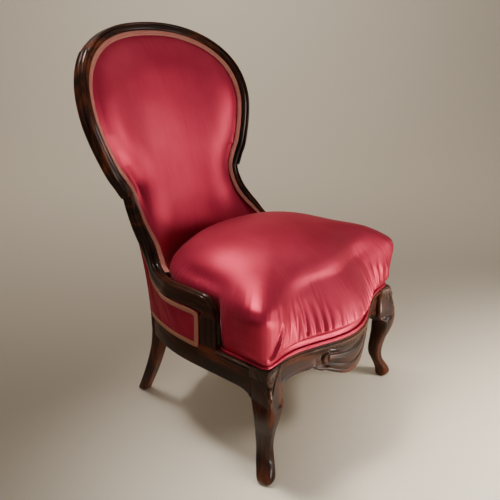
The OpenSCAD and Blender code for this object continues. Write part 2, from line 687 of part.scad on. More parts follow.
// Seat outline, from the middle of the front round one side to the middle of the rear
front_count = 12;
side_count = 6;
function half_outline(half_w, gap) = concat(
    [for (i = [0 : front_count - 1])
        let (x = (half_w - seat_corner_r) * i / (front_count - 1)) [x, front_y(x)]],
    [for (a = [-60, -30, 0]) [half_w - seat_corner_r, seat_corner_r - corner_reach]
        + seat_corner_r * [cos(a), sin(a)]],
    [for (s = [0.4, 0.8]) [half_w, mix(seat_corner_r - corner_reach, -arm_reach, s)]],
    [[mix(half_w, arm_half_w, 0.5), -arm_reach - 5 * gap], [arm_half_w - gap, -arm_reach - gap]],
    [for (s = seat_side_shares)
        [mix(arm_half_w - gap, 0, s[0]), mix(-arm_reach, rear_reach, s[1])]]);
seat_side_shares = [
    [0, 0.22], [0.01, 0.42], [0.03, 0.56], [0.11, 0.69], [0.17, 0.78],
    [0.27, 0.87], [0.38, 0.94], [0.53, 1.01], [0.69, 1.07], [0.85, 1.105], [1, 1.115]
];
seat_mid = [0, -60];
function round_trip(half) = concat(half,
    [for (i = [len(half) - 2 : -1 : 1]) [-half[i][0], half[i][1]]]);
cover_outline = round_trip(half_outline(seat_half_w, 1));
function drawn(p, in) = let (d = p - seat_mid) seat_mid + d * (1 - in / norm(d));

// Seat rings: how far in, how high and how much of the corners' bulge
seat_low = rail_h + fit_gap;
side_rings = [
    [piping_d * 1.3, 0, 0], [piping_d * 1.3, 0.06, 0], [seat_tuck, 0.13, 0],
    [piping_d * 0.6, 0.24, 0.25], [piping_d * 0.1, 0.42, 0.6], [0, 0.6, 0.9], [0, 0.78, 1],
    [seat_corner_r * 0.25, 0.92, 0.95], [seat_corner_r, 1, 0.75]
];
puff_reach = 70;
function gather(p, k) = p[1] < -corner_reach + seat_corner_r && k > 1 && k < 6
    ? gather_depth * cos(180 * round(p[0] * front_count / seat_half_w)) : 0;
function puff(p) = corner_puff
    * exp(-pow(norm([abs(p[0]) - seat_half_w, p[1] + corner_reach]) / puff_reach, 2));
function side_ring(outline, k, in) =
    [for (p = outline)
        let (r = side_rings[k], q = drawn(p, r[0] + in + gather(p, k) - r[2] * puff(p)))
        [q[0], q[1], mix(seat_low, seat_edge_h, r[1]) - (k > 6 ? in : 0)]];

// Seat crown: shares of the way out from the middle, of the rise, and of the way to an oval
crown_shares = [[0.87, 0.28, 0.45], [0.7, 0.58, 0.85], [0.45, 0.87, 1], [0.14, 1, 1]];
oval_power = 0.85;
function oval(p) = let (d = p - seat_mid, a = atan2(d[1], d[0]))
    [arm_half_w * sign(cos(a)) * pow(abs(cos(a)), oval_power),
     (a > 0 ? rear_reach - seat_mid[1] : corner_reach + bow * 0.6 + seat_mid[1])
         * sign(sin(a)) * pow(abs(sin(a)), oval_power)];
function crown_ring(outline, share, in) =
    let (edge = side_rings[len(side_rings) - 1])
    [for (p = outline)
        let (d = drawn(p, edge[0] + in - edge[2] * puff(p)) - seat_mid,
             q = seat_mid + mix(d, oval(p), share[2]) * share[0])
        [q[0], q[1], mix(seat_edge_h, seat_h, share[1]) - in]];
function seat_rings(in) = concat(
    [for (k = [0 : len(side_rings) - 1]) side_ring(cover_outline, k, in)],
    [for (s = crown_shares) crown_ring(cover_outline, s, in)]);

inner_rings = [12, 10, 8, 6, 4, 2, 0];
module seat_cover() {
    outer = seat_rings(0);
    inner = seat_rings(cloth_t);
    color(satin) placed()
        loft(concat([for (k = inner_rings) turned(inner[k])], [for (r = outer) turned(r)]));
}

// Stuffing under the cover, with a well for the springs
well_h = 360;
module seat_stuffing() {
    outer = seat_rings(cloth_t + fit_gap);
    thick = side_stuffing + cloth_t;
    function well(z, share) = [for (p = cover_outline)
        let (q = seat_mid + (drawn(p, thick) - seat_mid) * share) [q[0], q[1], z]];
    color(hair) placed() loft([for (r = concat(
        [well(well_h, 0.1), well(well_h, 1), well(seat_low, 1)],
        [for (k = turned(inner_rings)) outer[k]])) turned(r)], 1);
}

hessian_gap = 1;
module spring_hessian() {
    outline = [for (p = cover_outline) drawn(p, side_stuffing + cloth_t + hessian_gap)];
    color(jute) placed() translate([0, 0, well_h - hessian_t - fit_gap])
        linear_extrude(hessian_t) polygon(outline);
}

// Seat webbing: straps tacked under the rails and woven over and under each other
web_pitch = 2 * spring_pitch / (web_count - 1);
web_reach = rail_t * 0.7;
web_rise = web_t / 2 + 0.2;
web_z = leg_drop - web_t - web_rise;
web_end_rise = web_t / 2 + web_rise - fit_gap;
function web_place(i) = (i - (web_count - 1) / 2) * web_pitch;
function weave(first, last, phase, centre) = concat(
    [[first, web_end_rise], [first + web_reach, web_end_rise]],
    [for (i = [0 : web_count - 1], s = [-1, 1])
        [centre + web_place(i) + s * (web_pitch - web_w) / 6 + s * web_w / 2,
         ((i + phase) % 2 == 0 ? 1 : -1) * web_rise]],
    [[last - web_reach, web_end_rise], [last, web_end_rise]]);
function strap_side(line) = concat([for (p = line) [p[0], p[1] - web_t / 2]],
    [for (i = [len(line) - 1 : -1 : 0]) [line[i][0], line[i][1] + web_t / 2]]);
module seat_webbing() {
    color(jute) placed() translate([0, 0, web_z]) for (i = [0 : web_count - 1]) {
        x = web_place(i);
        far_x = abs(x) + web_w / 2;
        side_view(strap_side(weave(front_y(far_x) + rail_t + fit_gap,
                                   rear_y(far_x) - rail_t + web_reach, i, seat_mid[1])),
                  x - web_w / 2, x + web_w / 2);
        y = seat_mid[1] + web_place(i);
        reach = side_x(y + web_w / 2) - rail_t + web_reach;
        front_view(strap_side(weave(-reach, reach, i + 1, 0)), y - web_w / 2, y + web_w / 2);
    }
}

// Springs: hourglass helices that stand on the webbing, each one unbroken wire
spring_base = web_z + web_rise + (web_t + wire_d) / 2 + fit_gap;
spring_top = well_h - hessian_t - wire_d / 2 - 2 * fit_gap;
curl_rings = 8;
wire_sides = 5;
function spring_radius(t) =
    (mix(spring_waist_d, spring_d, pow(abs(2 * t - 1), 1.5)) - wire_d) / 2;
function spring_point(t) =
    let (a = 360 * spring_turns * t, r = spring_radius(t))
    [r * cos(a), r * sin(a), mix(spring_base, spring_top, t)];
function wire_ring(t) =
    let (a = 360 * spring_turns * t, p = spring_point(t))
    [for (j = [0 : wire_sides - 1]) let (b = 360 * j / wire_sides)
        p + wire_d / 2 * [cos(b) * cos(a), cos(b) * sin(a), sin(b)]];
spring_steps = curl_rings * spring_turns;
spring_line = [for (i = [0 : spring_steps]) spring_point(i / spring_steps)];
spring_least = min([for (i = [0 : spring_steps], j = [i + curl_rings / 2 : 1 : spring_steps])
    norm(spring_line[i] - spring_line[j])]) - wire_d;
echo(spring_gap_to_itself = spring_least);

module seat_springs() {
    places = [for (i = [0 : spring_count - 1]) (i - (spring_count - 1) / 2) * spring_pitch];
    color(steel) placed() for (x = places, y = places)
        translate([x, y + seat_mid[1], 0])
            loft([for (i = [0 : spring_steps]) wire_ring(i / spring_steps)]);
}

// Piping round the seat from post to post
piping_sides = 6;
piping_half = [for (i = [0 : front_count + side_count - 1]) half_outline(seat_half_w, 1)[i]];
piping_line = [for (p = concat(
        [for (i = [len(piping_half) - 1 : -1 : 1]) [-piping_half[i][0], piping_half[i][1]]],
        piping_half))
    let (q = drawn(p, piping_d * 0.35)) [q[0], q[1], rail_h + piping_d / 2 + fit_gap]];
function tube_ring(line, i, r, sides) =
    let (t = unit(line[min(i + 1, len(line) - 1)] - line[max(i - 1, 0)]),
         s = unit(cross(t, [0, 0, 1])), u = cross(s, t))
    [for (j = [0 : sides - 1]) let (b = 360 * (j + 0.5) / sides)
        line[i] + r * (cos(b) * s + sin(b) * u)];
module seat_piping() {
    color(satin) placed() loft([for (i = [0 : len(piping_line) - 1])
        turned(tube_ring(piping_line, i, piping_d / 2, piping_sides))]);
}

// Back panels lie in rows, each from one side of the frame to the other
row_first = 1;
row_end = sweep_end - 7;
col_steps = 4;
least_share = 0.3;
function gimp_share(i) = let (a = across(i)[0] * edge_path[i][0])
    max(least_share, 1 - 1.2 * gimp_w / max(a, gimp_w));
function row_shares(i) =
    let (half = concat([for (j = [1 : col_steps]) gimp_share(i) * j / col_steps], [1]))
    concat(-turned(half), [0], half);
foot_draw = back_hollow * 0.7;
function row_low(i) = i <= waist_joint ? 0
    : smooth((edge_run[i] - edge_run[waist_joint]) / (edge_run[row_end] - edge_run[waist_joint]));
function row_middle(i) = let (p = edge_path[i], low = row_low(i))
    i <= waist_joint ? [0, back_y(0, p[2]), p[2]]
    : [0, back_y(0, waist_h) - low * foot_draw, waist_h - low * (waist_h - arm_h + foot_drop)];
back_normal = [0, cos(back_lean), -sin(back_lean)];
back_rise = [0, sin(back_lean), cos(back_lean)];
function row_point(i, share, in, deep) =
    let (e = edge_point(i, -in, deep), s = abs(share),
         m = row_middle(i) + deep * back_normal - in * smooth((4 - i) / 4) * back_rise,
         q = mix(m, e, pow(s, 2)))
    [sign(share) * mix(0, e[0], s), q[1], q[2]];
function line_gap(p, a, b) = let (d = b - a, t = clamp(((p - a) * d) / (d * d))) norm(p - a - t * d);
function edge_gap(p) = min([for (i = [0 : row_end - 1])
    let (a = edge_path[i], b = edge_path[i + 1])
    line_gap([abs(p[0]), p[2]], [a[0], a[2]], [b[0], b[2]])]);
crown_reach = back_crown * 3.6;
function crown(i, p) = back_crown * (1 - row_low(i) / 2)
    * (1 - pow(1 - clamp((edge_gap(p) - gimp_w * 1.05) / crown_reach), 3));
function back_grid(rows, cols, in, deep, crowned) =
    [for (i = rows) [for (s = cols == 0 ? row_shares(i) : cols)
        let (p = row_point(i, s, in, deep)) p - [0, crowned * crown(i, p), 0]]];
all_rows = [for (i = [row_first : row_end]) i];
few_rows = concat([for (i = [row_first : 2 : waist_joint - 2]) i],
    [for (i = [waist_joint : row_end]) i]);
few_shares = [-1, -0.9, -0.65, -0.35, 0, 0.35, 0.65, 0.9, 1];

gimp_deep = 1.5;
padding_in = 3;
padding_gap = 3.5;
padding_crown = 0.84;
cover_deep = gimp_deep + gimp_t + 4 * fit_gap;
hessian_deep = 16;
hessian_in = 2;
module inside_back_cover() {
    color(satin) placed() sheet(back_grid(all_rows, 0, fit_gap, cover_deep, 1),
        back_grid(all_rows, 0, fit_gap, cover_deep + cloth_t, 1));
}
module back_stuffing() {
    color(hair) placed() sheet(
        back_grid(few_rows, few_shares, padding_in, cover_deep + cloth_t + padding_gap, padding_crown),
        back_grid(few_rows, few_shares, padding_in, hessian_deep - 2 * fit_gap, 0));
}
module back_hessian() {
    color(jute) placed() sheet(back_grid(few_rows, few_shares, hessian_in, hessian_deep, 0),
        back_grid(few_rows, few_shares, hessian_in, hessian_deep + hessian_t, 0));
}

// Back webbing behind the hessian: straps across, and two down
web_rows = [3, 7, 11, 15, 19];
module back_webbing() {
    deep = hessian_deep + hessian_t + fit_gap;
    color(jute) placed() for (r = web_rows)
        sheet(back_grid([r, r + 2], few_shares, padding_in, deep, 0),
              back_grid([r, r + 2], few_shares, padding_in, deep + web_t, 0));
}

// Gimp along the inner edge of the frame, over the edge of the cover
function gimp_ring(i) = [for (c = [[-gimp_w, gimp_deep], [0, gimp_deep],
        [0, gimp_deep + gimp_t], [-gimp_w, gimp_deep + gimp_t]])
    edge_point(i, c[0] - fit_gap, c[1])];
module inside_gimp() {
    half = [for (i = [0 : row_end]) gimp_ring(i)];
    color(braid) placed()
        loft(concat([for (i = [row_end : -1 : 1]) mirrored_rings(half)[i]], half));
}

// Side panels: cloth from the rail up to the arm and its sweep
panel_steps = 10;
panel_rises = 4;
corner_sag = 6;
panel_end_share = 0.985;
panel_span = 14;
panel_head_last = sweep_end - panel_span;
panel_top_ids = [for (i = [sweep_end : -1 : panel_head_last]) i];
panel_gap = 2 * fit_gap;
function panel_foot(t) = let (y = mix(post_rear_y + panel_gap, rear_reach - rebate, t))
    [side_x(y) - rebate / 2, y, panel_low];
function cloth_share(i) = i > waist_joint
    ? mix(0.5, 0.86, smooth((i - waist_joint) / (sweep_end - waist_joint)))
    : mix(0.7, 0.5, smooth((i - waist_joint + 4) / 4));
function cloth_edge(i) = edge_point(i, face_width(i) * cloth_share(i), face_depth(i) + 6 * fit_gap);
function panel_head(t) =
    let (n = len(panel_top_ids) - 1, k = t * n, i = floor(min(k, n - 1)))
    mix(cloth_edge(panel_top_ids[i]), cloth_edge(panel_top_ids[i + 1]), k - i);
function panel_out(t) = unit([1, pow(t, 3), 0]);
function panel_point(t, rise, out) =
    mix(panel_foot(t), panel_head(t), rise) + out * panel_out(t)
    - [0, corner_sag * 4 * rise * (1 - rise) * t * t, 0];
function panel_grid(out) = [for (r = [0 : panel_rises]) [for (c = [0 : panel_steps])
    panel_point(panel_end_share * c / panel_steps, r / panel_rises, out)]];
module side_panel(side) {
    color(satin) placed() on_side(side) sheet(panel_grid(0), panel_grid(cloth_t));
}

// Outside back: cloth over the rear of the frame and down to the rear rail
outside_gap = 4 * fit_gap;
outside_shares = [-1, -0.87, -0.68, -0.46, -0.23, 0, 0.23, 0.46, 0.68, 0.87, 1];
outside_edges = concat([for (r = [0 : panel_rises]) panel_point(1, r / panel_rises, 0)],
    [for (i = [panel_head_last - 1 : -1 : 1]) cloth_edge(i)]);
function outside_middle(z) = z > waist_h ? back_y(0, z) + stile_t / cos(back_lean)
    : mix(rear_y(0) - rebate, back_y(0, waist_h) + stile_t / cos(back_lean),
          smooth((z - panel_low) / (waist_h - panel_low)));
function outside_grid(deep) = [for (e = outside_edges) [for (s = outside_shares)
    [s * e[0], mix(outside_middle(e[2]), e[1], s * s) + outside_gap + deep, e[2]]]];
module outside_back_cover() {
    color(satin) placed() sheet(outside_grid(cloth_t), outside_grid(0));
}

// Gimp round the side panels, from the rear corner along the rail and up to the arm
braid_in = gimp_w / 2 + fit_gap;
braid_foot = [for (c = [panel_steps - 1 : -1 : 0]) let (t = c / panel_steps)
    [panel_foot(t) + [0, c == 0 ? braid_in : 0, braid_in], t]];
braid_head = [for (c = [0 : panel_steps - 1]) let (t = c / panel_steps)
    [panel_head(t) + [0, c == 0 ? braid_in : 0, -braid_in], t]];
braid_line = concat(braid_foot, braid_head);
function braid_ring(i) =
    let (last = len(braid_line) - 1, p = braid_line[i][0], out = panel_out(braid_line[i][1]),
         t = unit(braid_line[min(i + 1, last)][0] - braid_line[max(i - 1, 0)][0]),
         side = unit(cross(t, out)), base = p + out * (cloth_t + fit_gap))
    [for (c = [[0, -1], [1, -1], [1, 1], [0, 1]])
        base + out * gimp_t * c[0] + side * gimp_w / 2 * c[1]];
module outside_gimp(side) {
    color(braid) placed() on_side(side)
        loft([for (i = [0 : len(braid_line) - 1]) braid_ring(i)]);
}

crest_rail();
upper_stile(1);  // upper_stile_left
upper_stile(-1);  // upper_stile_right
arm_rail(1);  // arm_rail_left
arm_rail(-1);  // arm_rail_right
arm_post(1);  // arm_post_left
arm_post(-1);  // arm_post_right
front_leg(1);  // front_leg_left
front_leg(-1);  // front_leg_right
rear_leg(1);  // rear_leg_left
rear_leg(-1);  // rear_leg_right
front_rail();
side_rail(1);  // side_rail_left
side_rail(-1);  // side_rail_right
rear_rail();
tacking_rail();
webbing_batten();
corner_blocks();
corner_screws();
frame_dowels();
rail_dowels();
seat_webbing();
seat_springs();
spring_hessian();
seat_stuffing();
seat_cover();
seat_piping();
back_webbing();
back_hessian();
back_stuffing();
inside_back_cover();
inside_gimp();
side_panel(1);  // side_panel_left
side_panel(-1);  // side_panel_right
outside_back_cover();
outside_gimp(1);  // outside_gimp_left
outside_gimp(-1);  // outside_gimp_right
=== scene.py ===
"""Looks of the balloon back nursing chair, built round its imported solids.

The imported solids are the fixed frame. Each piece below is worked out in metres about the middle of the seat, as
the solids are, and set back over the chair's own middle when its mesh is finished. Left and right are the
sitter's own, the sitter faces -Y, and side is 1 for left and -1 for right.
"""

from __future__ import annotations

import logging
import math
from dataclasses import dataclass, field
from enum import Enum
from typing import Callable, Iterable, Sequence

import bmesh
import bpy
import numpy as np
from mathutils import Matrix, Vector, noise

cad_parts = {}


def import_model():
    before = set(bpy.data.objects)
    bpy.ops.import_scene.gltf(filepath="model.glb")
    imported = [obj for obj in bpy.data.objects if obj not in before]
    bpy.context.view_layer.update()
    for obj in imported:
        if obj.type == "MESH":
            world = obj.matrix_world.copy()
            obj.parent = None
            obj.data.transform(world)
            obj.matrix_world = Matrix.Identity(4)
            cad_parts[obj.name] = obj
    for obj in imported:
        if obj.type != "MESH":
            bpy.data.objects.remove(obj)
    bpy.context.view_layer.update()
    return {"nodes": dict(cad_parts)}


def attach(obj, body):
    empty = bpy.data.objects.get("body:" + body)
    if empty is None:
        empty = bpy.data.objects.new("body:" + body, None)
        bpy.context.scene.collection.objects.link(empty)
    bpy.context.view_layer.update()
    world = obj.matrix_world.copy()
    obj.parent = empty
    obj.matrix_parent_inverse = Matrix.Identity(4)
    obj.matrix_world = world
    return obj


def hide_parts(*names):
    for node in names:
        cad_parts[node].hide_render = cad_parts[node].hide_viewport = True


log = logging.getLogger("nursing_chair")
Array = np.ndarray
Trio = tuple[np.ndarray, np.ndarray, np.ndarray]
Mesh = bmesh.types.BMesh
Vert = bmesh.types.BMVert
Number = float | np.ndarray
BODY = "root"
UV_MAP = "cloth"
MIRROR_X = np.array([-1.0, 1.0, 1.0])
HANDS = ((1, "left"), (-1, "right"))
PLAIT = 0.0042
NO_LENGTH = 1e-12


def mix(a: Number, b: Number, t: Number) -> Number:
    """The value between a and b at share t."""
    return a + (b - a) * t


def smooth(t: Number) -> Number:
    """A share that starts and stops gently, from 0 to 1."""
    c = np.clip(t, 0.0, 1.0)
    return c * c * (3 - 2 * c)


def bell(x: Number, width: Number) -> Number:
    """A bell-shaped bump of height 1 and the given half width."""
    return np.exp(-np.square(x / width))


def dome(r: Number) -> Number:
    """The height of a round boss at r radii from its middle."""
    return np.sqrt(np.clip(1 - np.square(r), 0, 1))


def unit(v: Array) -> Array:
    """The vector, or each row of vectors, at length 1."""
    return v / np.maximum(np.linalg.norm(v, axis=-1, keepdims=True), NO_LENGTH)


def spline(knots: Sequence[Array] | Array, t: float) -> Array:
    """A point of a smooth curve through knots.

    Args:
        knots: The points, or rings of points, that the curve goes through.
        t: The place on the curve, counted in knots.

    Returns:
        The point or ring at that place.
    """
    last = len(knots) - 1
    k = min(int(max(t, 0.0)), last - 1)
    a, b, c, d = (np.asarray(knots[max(0, min(last, k + s))]) for s in (-1, 0, 1, 2))
    u = t - k
    return (2 * b + (c - a) * u + (2 * a - 5 * b + 4 * c - d) * u**2 + (3 * b - a - 3 * c + d) * u**3) / 2


def runs_along(points: Array) -> Array:
    """How far along a line each of its points lies."""
    return np.concatenate([[0], np.cumsum(np.linalg.norm(np.diff(points, axis=0), axis=1))])


def resample(points: Array, count: int, closed: bool = True) -> Array:
    """Evenly spaced points along a smooth curve.

    Args:
        points: The knots of the curve.
        count: How many points come back.
        closed: Whether the curve comes back to its start.

    Returns:
        The points, without a second copy of the first one on a closed curve.
    """
    knots = list(points)
    ring = [knots[-1], *knots, knots[0], knots[1]] if closed else knots
    first, stop = (1, len(knots) + 1) if closed else (0, len(knots) - 1)
    fine = np.array([spline(ring, t) for t in np.linspace(first, stop, 12 * len(knots))])
    run = runs_along(fine)
    places = np.linspace(0, run[-1], count, endpoint=not closed)
    return np.stack([np.interp(places, run, fine[:, k]) for k in range(fine.shape[1])], axis=1)


def rough(*place: float) -> float:
    """A smooth random height from -1 to 1 at a place, the same on each run."""
    return noise.noise(Vector(place))


def ripple(places: Iterable[float], seed: float) -> Array:
    """Smooth random heights from -1 to 1 along a line of places."""
    return np.array([rough(p, seed, 0.5 * seed) for p in places])


def flat_cloth(along: Sequence[float], across: Sequence[float]) -> Array:
    """The places of a plain flat cloth's rings and points."""
    return np.stack(np.meshgrid(along, across, indexing="ij"), axis=-1)


def soften(ring: Array, spread: float) -> Array:
    """A closed ring with its corners rounded off over a number of points."""
    keep = np.exp(-2 * np.square(np.pi * spread * np.fft.fftfreq(len(ring))))
    return np.fft.ifft(np.fft.fft(ring, axis=0) * keep[:, None], axis=0).real


def ways_along(ring: Array, axis: int = 0) -> Array:
    """The way along a closed ring at each of its points."""
    return np.roll(ring, -1, axis=axis) - np.roll(ring, 1, axis=axis)


def square_to(way: Array) -> Array:
    """The ways square to ways in plan."""
    return np.stack([way[:, 1], -way[:, 0]], axis=1)


def grid_normals(grid: Array) -> Array:
    """The surface's direction at each point of a grid of closed rings."""
    return unit(np.cross(ways_along(grid, axis=1), np.gradient(grid, axis=0)))


def put(name: str, data: bpy.types.ID) -> bpy.types.Object:
    """Makes an object of the data and puts it in the scene."""
    made = bpy.data.objects.new(name, data)
    bpy.context.scene.collection.objects.link(made)
    return made


class Grain(Enum):
    """Which way the wood's grain, or the cloth's long threads, run."""

    ACROSS = (0.05, 1.0, 1.0)
    DEEP = (1.0, 0.05, 1.0)
    UP = (1.0, 1.0, 0.05)


class Wire:
    """A value in a shader, so that maths on it reads as Python."""

    def __init__(self, shader: "Shader", socket: bpy.types.NodeSocket) -> None:
        """Wraps one output socket of the shader."""
        self.shader = shader
        self.socket = socket

    def maths(self, operation: str, *others: "Wire | float", first: bool = True) -> "Wire":
        """Adds a Math node of this value and the others, with this value first or last."""
        values = [self, *others] if first else [*others, self]
        return self.shader.node("ShaderNodeMath", {"operation": operation}, dict(enumerate(values)))

    def __add__(self, other: "Wire | float") -> "Wire":
        """This value plus the other."""
        return self.maths("ADD", other)

    def __mul__(self, other: "Wire | float") -> "Wire":
        """This value times the other."""
        return self.maths("MULTIPLY", other)

    def __rsub__(self, other: "Wire | float") -> "Wire":
        """The other less this value."""
        return self.maths("SUBTRACT", other, first=False)

    def __pow__(self, power: "Wire | float") -> "Wire":
        """This value to a power."""
        return self.maths("POWER", power)

    def between(self, low: float, high: float) -> "Wire":
        """How far this value has come from low to high, from 0 to 1."""
        return self.shader.node("ShaderNodeMapRange", {"clamp": True}, {0: self, 1: low, 2: high})


class Shader:
    """One material's node tree."""

    def __init__(self, name: str) -> None:
        """Makes the material with an empty tree and its output."""
        self.material = bpy.data.materials.new(name)
        self.material.use_nodes = True
        self.tree = self.material.node_tree
        self.tree.nodes.clear()
        self.output = self.tree.nodes.new("ShaderNodeOutputMaterial")

    def node(
        self,
        kind: str,
        settings: dict[str, object] | None = None,
        inputs: dict[int | str, object] | None = None,
        output: int | str = 0,
    ) -> Wire:
        """Adds any node.

        Args:
            kind: The node's type.
            settings: Its own settings, set first; stops are a colour ramp's.
            inputs: The values or links of its sockets.
            output: Which of its outputs comes back.

        Returns:
            That output.
        """
        made = self.tree.nodes.new(kind)
        for name, value in (settings or {}).items():
            if name == "stops":
                ramp = made.color_ramp.elements
                while len(ramp) < len(value):
                    ramp.new(0.5)
                for stop, (place, colour) in zip(ramp, value):
                    stop.position, stop.color = place, (*colour, 1.0)
            else:
                setattr(made, name, value)
        for name, value in (inputs or {}).items():
            if isinstance(value, Wire):
                self.tree.links.new(value.socket, made.inputs[name])
            else:
                made.inputs[name].default_value = value
        return Wire(self, made.outputs[output])

    def place(self, scale: Sequence[float] = (1, 1, 1), coords: Wire | None = None) -> Wire:
        """The place on the object, or other coordinates, stretched along the axes."""
        coords = coords or self.node("ShaderNodeTexCoord", output="Object")
        return self.node("ShaderNodeMapping", inputs={"Vector": coords, "Scale": tuple(scale)})

    def cloth(self) -> Wire:
        """The place on the piece's own flat cloth, in metres."""
        return self.node("ShaderNodeUVMap", {"uv_map": UV_MAP})

    def cloth_ways(self) -> list[Wire]:
        """How far along and how far across the piece's own flat cloth, in metres."""
        spot = self.cloth()
        return [self.node("ShaderNodeSeparateXYZ", inputs={0: spot}, output=k) for k in (0, 1)]

    def cloud(self, place: Wire, scale: float, detail: float = 3.0, twist: float = 0.0) -> Wire:
        """Soft random values from 0 to 1."""
        inputs = {"Vector": place, "Scale": scale, "Detail": detail, "Distortion": twist}
        return self.node("ShaderNodeTexNoise", inputs=inputs)

    def blend(self, share: Wire | float, a: Wire | tuple, b: Wire | tuple) -> Wire:
        """Two colours mixed by a share."""
        colours = [(*c, 1.0) if isinstance(c, tuple) else c for c in (a, b)]
        return self.node("ShaderNodeMix", {"data_type": "RGBA"}, {0: share, 6: colours[0], 7: colours[1]}, output=2)

    def ramp(self, value: Wire, stops: Sequence[tuple[float, tuple]]) -> Wire:
        """Colours by a value."""
        return self.node("ShaderNodeValToRGB", {"stops": stops}, {0: value})

    def attribute(self, name: str) -> Wire:
        """A number that the piece carries at each point."""
        settings = {"attribute_type": "GEOMETRY", "attribute_name": name}
        return self.node("ShaderNodeAttribute", settings, output="Fac")

    def bump(self, height: Wire, distance: float, strength: float) -> Wire:
        """A surface direction from heights."""
        return self.node("ShaderNodeBump", inputs={"Height": height, "Distance": distance, "Strength": strength})

    def surface(self, **values: object) -> bpy.types.Material:
        """Finishes the material with one principled surface.

        Args:
            values: Its sockets, with underscores for spaces.

        Returns:
            The finished material.
        """
        inputs = {name.replace("_", " "): value for name, value in values.items()}
        closed = self.node("ShaderNodeBsdfPrincipled", inputs=inputs)
        self.tree.links.new(closed.socket, self.output.inputs["Surface"])
        return self.material


@dataclass(frozen=True)
class Finish:
    """A finish, which makes its material on first use."""

    label: str

    def material(self) -> bpy.types.Material:
        """The finish's material."""
        known = bpy.data.materials.get(self.label)
        return known or self.dress(Shader(self.label))

    def dress(self, shader: Shader) -> bpy.types.Material:
        """Builds the finish in the shader."""
        raise NotImplementedError


@dataclass(frozen=True)
class Mahogany(Finish):
    """French polished mahogany: dark, with warm streaks, dust in its hollows and rubbed edges."""

    grain: Grain = Grain.UP
    dark: tuple = (0.011, 0.0042, 0.0023)
    middle: tuple = (0.036, 0.0105, 0.0053)
    warm: tuple = (0.125, 0.028, 0.0088)
    dust: tuple = (0.085, 0.066, 0.050)
    rubbed: tuple = (0.160, 0.095, 0.062)
    polish: float = 0.2

    def dress(self, shader: Shader) -> bpy.types.Material:
        """Builds the polished wood."""
        figure = shader.cloud(shader.place(self.grain.value), 30, 6, 1.2)
        patches = shader.cloud(shader.place(), 9, 2)
        pores = shader.cloud(shader.place([0.6 * s for s in self.grain.value]), 900, 2).between(0.56, 0.68)
        tone = figure * 0.72 + patches * 0.28
        wood = shader.ramp(tone, [(0.36, self.dark), (0.49, self.middle), (0.64, self.warm)])
        wood = shader.blend(pores * 0.45, wood, self.dark)
        hollow = shader.attribute("hollow")
        worn = shader.attribute("worn")
        speck = shader.cloud(shader.place(), 520, 3)
        dusty = (hollow * (speck * 0.9 + 0.35)).between(0.12, 0.85)
        edge = (worn * (speck * 0.8 + 0.4)).between(0.25, 0.9)
        wood = shader.blend(dusty * 0.6, wood, self.dust)
        wood = shader.blend(edge * 0.55, wood, self.rubbed)
        smear = shader.cloud(shader.place(), 24, 4)
        matt = smear * 0.14 + dusty * 0.45 + 0.26
        relief = pores * -0.4 + speck * 0.25 + smear * 0.5
        return shader.surface(
            Base_Color=wood,
            Roughness=matt,
            Coat_Weight=(1 - dusty) * self.polish,
            Coat_Roughness=0.08,
            Specular_IOR_Level=0.08,
            Normal=shader.bump(relief, 0.00025, 0.5),
        )


@dataclass(frozen=True)
class Satin(Finish):
    """Crimson satin with fine slubs along its warp and a soft pinkish sheen."""

    shade: tuple = (0.310, 0.017, 0.041)
    body: tuple = (0.410, 0.027, 0.062)
    light: tuple = (0.510, 0.044, 0.086)
    slub: float = 0.24
    metal: float = 0.62
    rough: float = 0.41

    def dress(self, shader: Shader) -> bpy.types.Material:
        """Builds the satin."""
        spot = shader.cloth()
        slubs, threads, wefts = (
            shader.cloud(shader.place(scale, spot), size, detail)
            for scale, size, detail in (((0.025, 1, 1), 330, 4), ((0.02, 1, 1), 1500, 2), ((1, 0.03, 1), 1300, 2))
        )
        fade = shader.cloud(shader.place(), 5, 3)
        tone = slubs * self.slub + fade * (1 - self.slub)
        cloth = shader.ramp(tone, [(0.33, self.shade), (0.5, self.body), (0.68, self.light)])
        cloth = shader.blend(threads.between(0.45, 0.75) * 0.12, cloth, self.shade)
        relief = threads * 0.5 + wefts * 0.35 + slubs * 0.3
        return shader.surface(
            Base_Color=cloth,
            Metallic=slubs * 0.1 + self.metal,
            Roughness=fade * 0.1 + self.rough,
            Specular_IOR_Level=0.18,
            Specular_Tint=(0.75, 0.3, 0.35, 1.0),
            Sheen_Weight=0.1,
            Sheen_Roughness=0.4,
            Sheen_Tint=(1.0, 0.5, 0.5, 1.0),
            Normal=shader.bump(relief, 0.00016, 0.5),
        )


@dataclass(frozen=True)
class Braid(Finish):
    """Silk gimp: plaited cords of salmon thread that dull to tan, with painted shade in the dips between the cords."""

    thread: tuple = (0.600, 0.180, 0.135)
    # gap is the painted shade in the dips between the cords
    gap: tuple = (0.200, 0.036, 0.032)
    faded: tuple = (0.580, 0.250, 0.165)

    def dress(self, shader: Shader) -> bpy.types.Material:
        """Builds the braid on the piece's own flat cloth, with painted shade in the dips between its cords."""
        along, across = shader.cloth_ways()
        turn = ((along + across.maths("PINGPONG", PLAIT)) * (1 / PLAIT)).maths("FRACT")
        cord = (turn.maths("PINGPONG", 0.5) * 2) ** 0.6
        worn = shader.cloud(shader.place(), 14, 3).between(0.35, 0.65)
        fibre = shader.cloud(shader.place(), 1100, 2)
        thread = shader.blend(worn * 0.6, self.thread, self.faded)
        # the thread colour darkens to the painted shade where each cord dips between its neighbours
        cloth = shader.blend((cord * (fibre * 0.5 + 0.6)).between(0.1, 0.9), self.gap, thread)
        return shader.surface(
            Base_Color=cloth,
            Roughness=fibre * 0.2 + 0.5,
            Sheen_Weight=0.3,
            Sheen_Tint=(1.0, 0.7, 0.6, 1.0),
            Normal=shader.bump(cord * 0.8 + fibre * 0.2, 0.0006, 0.8),
        )


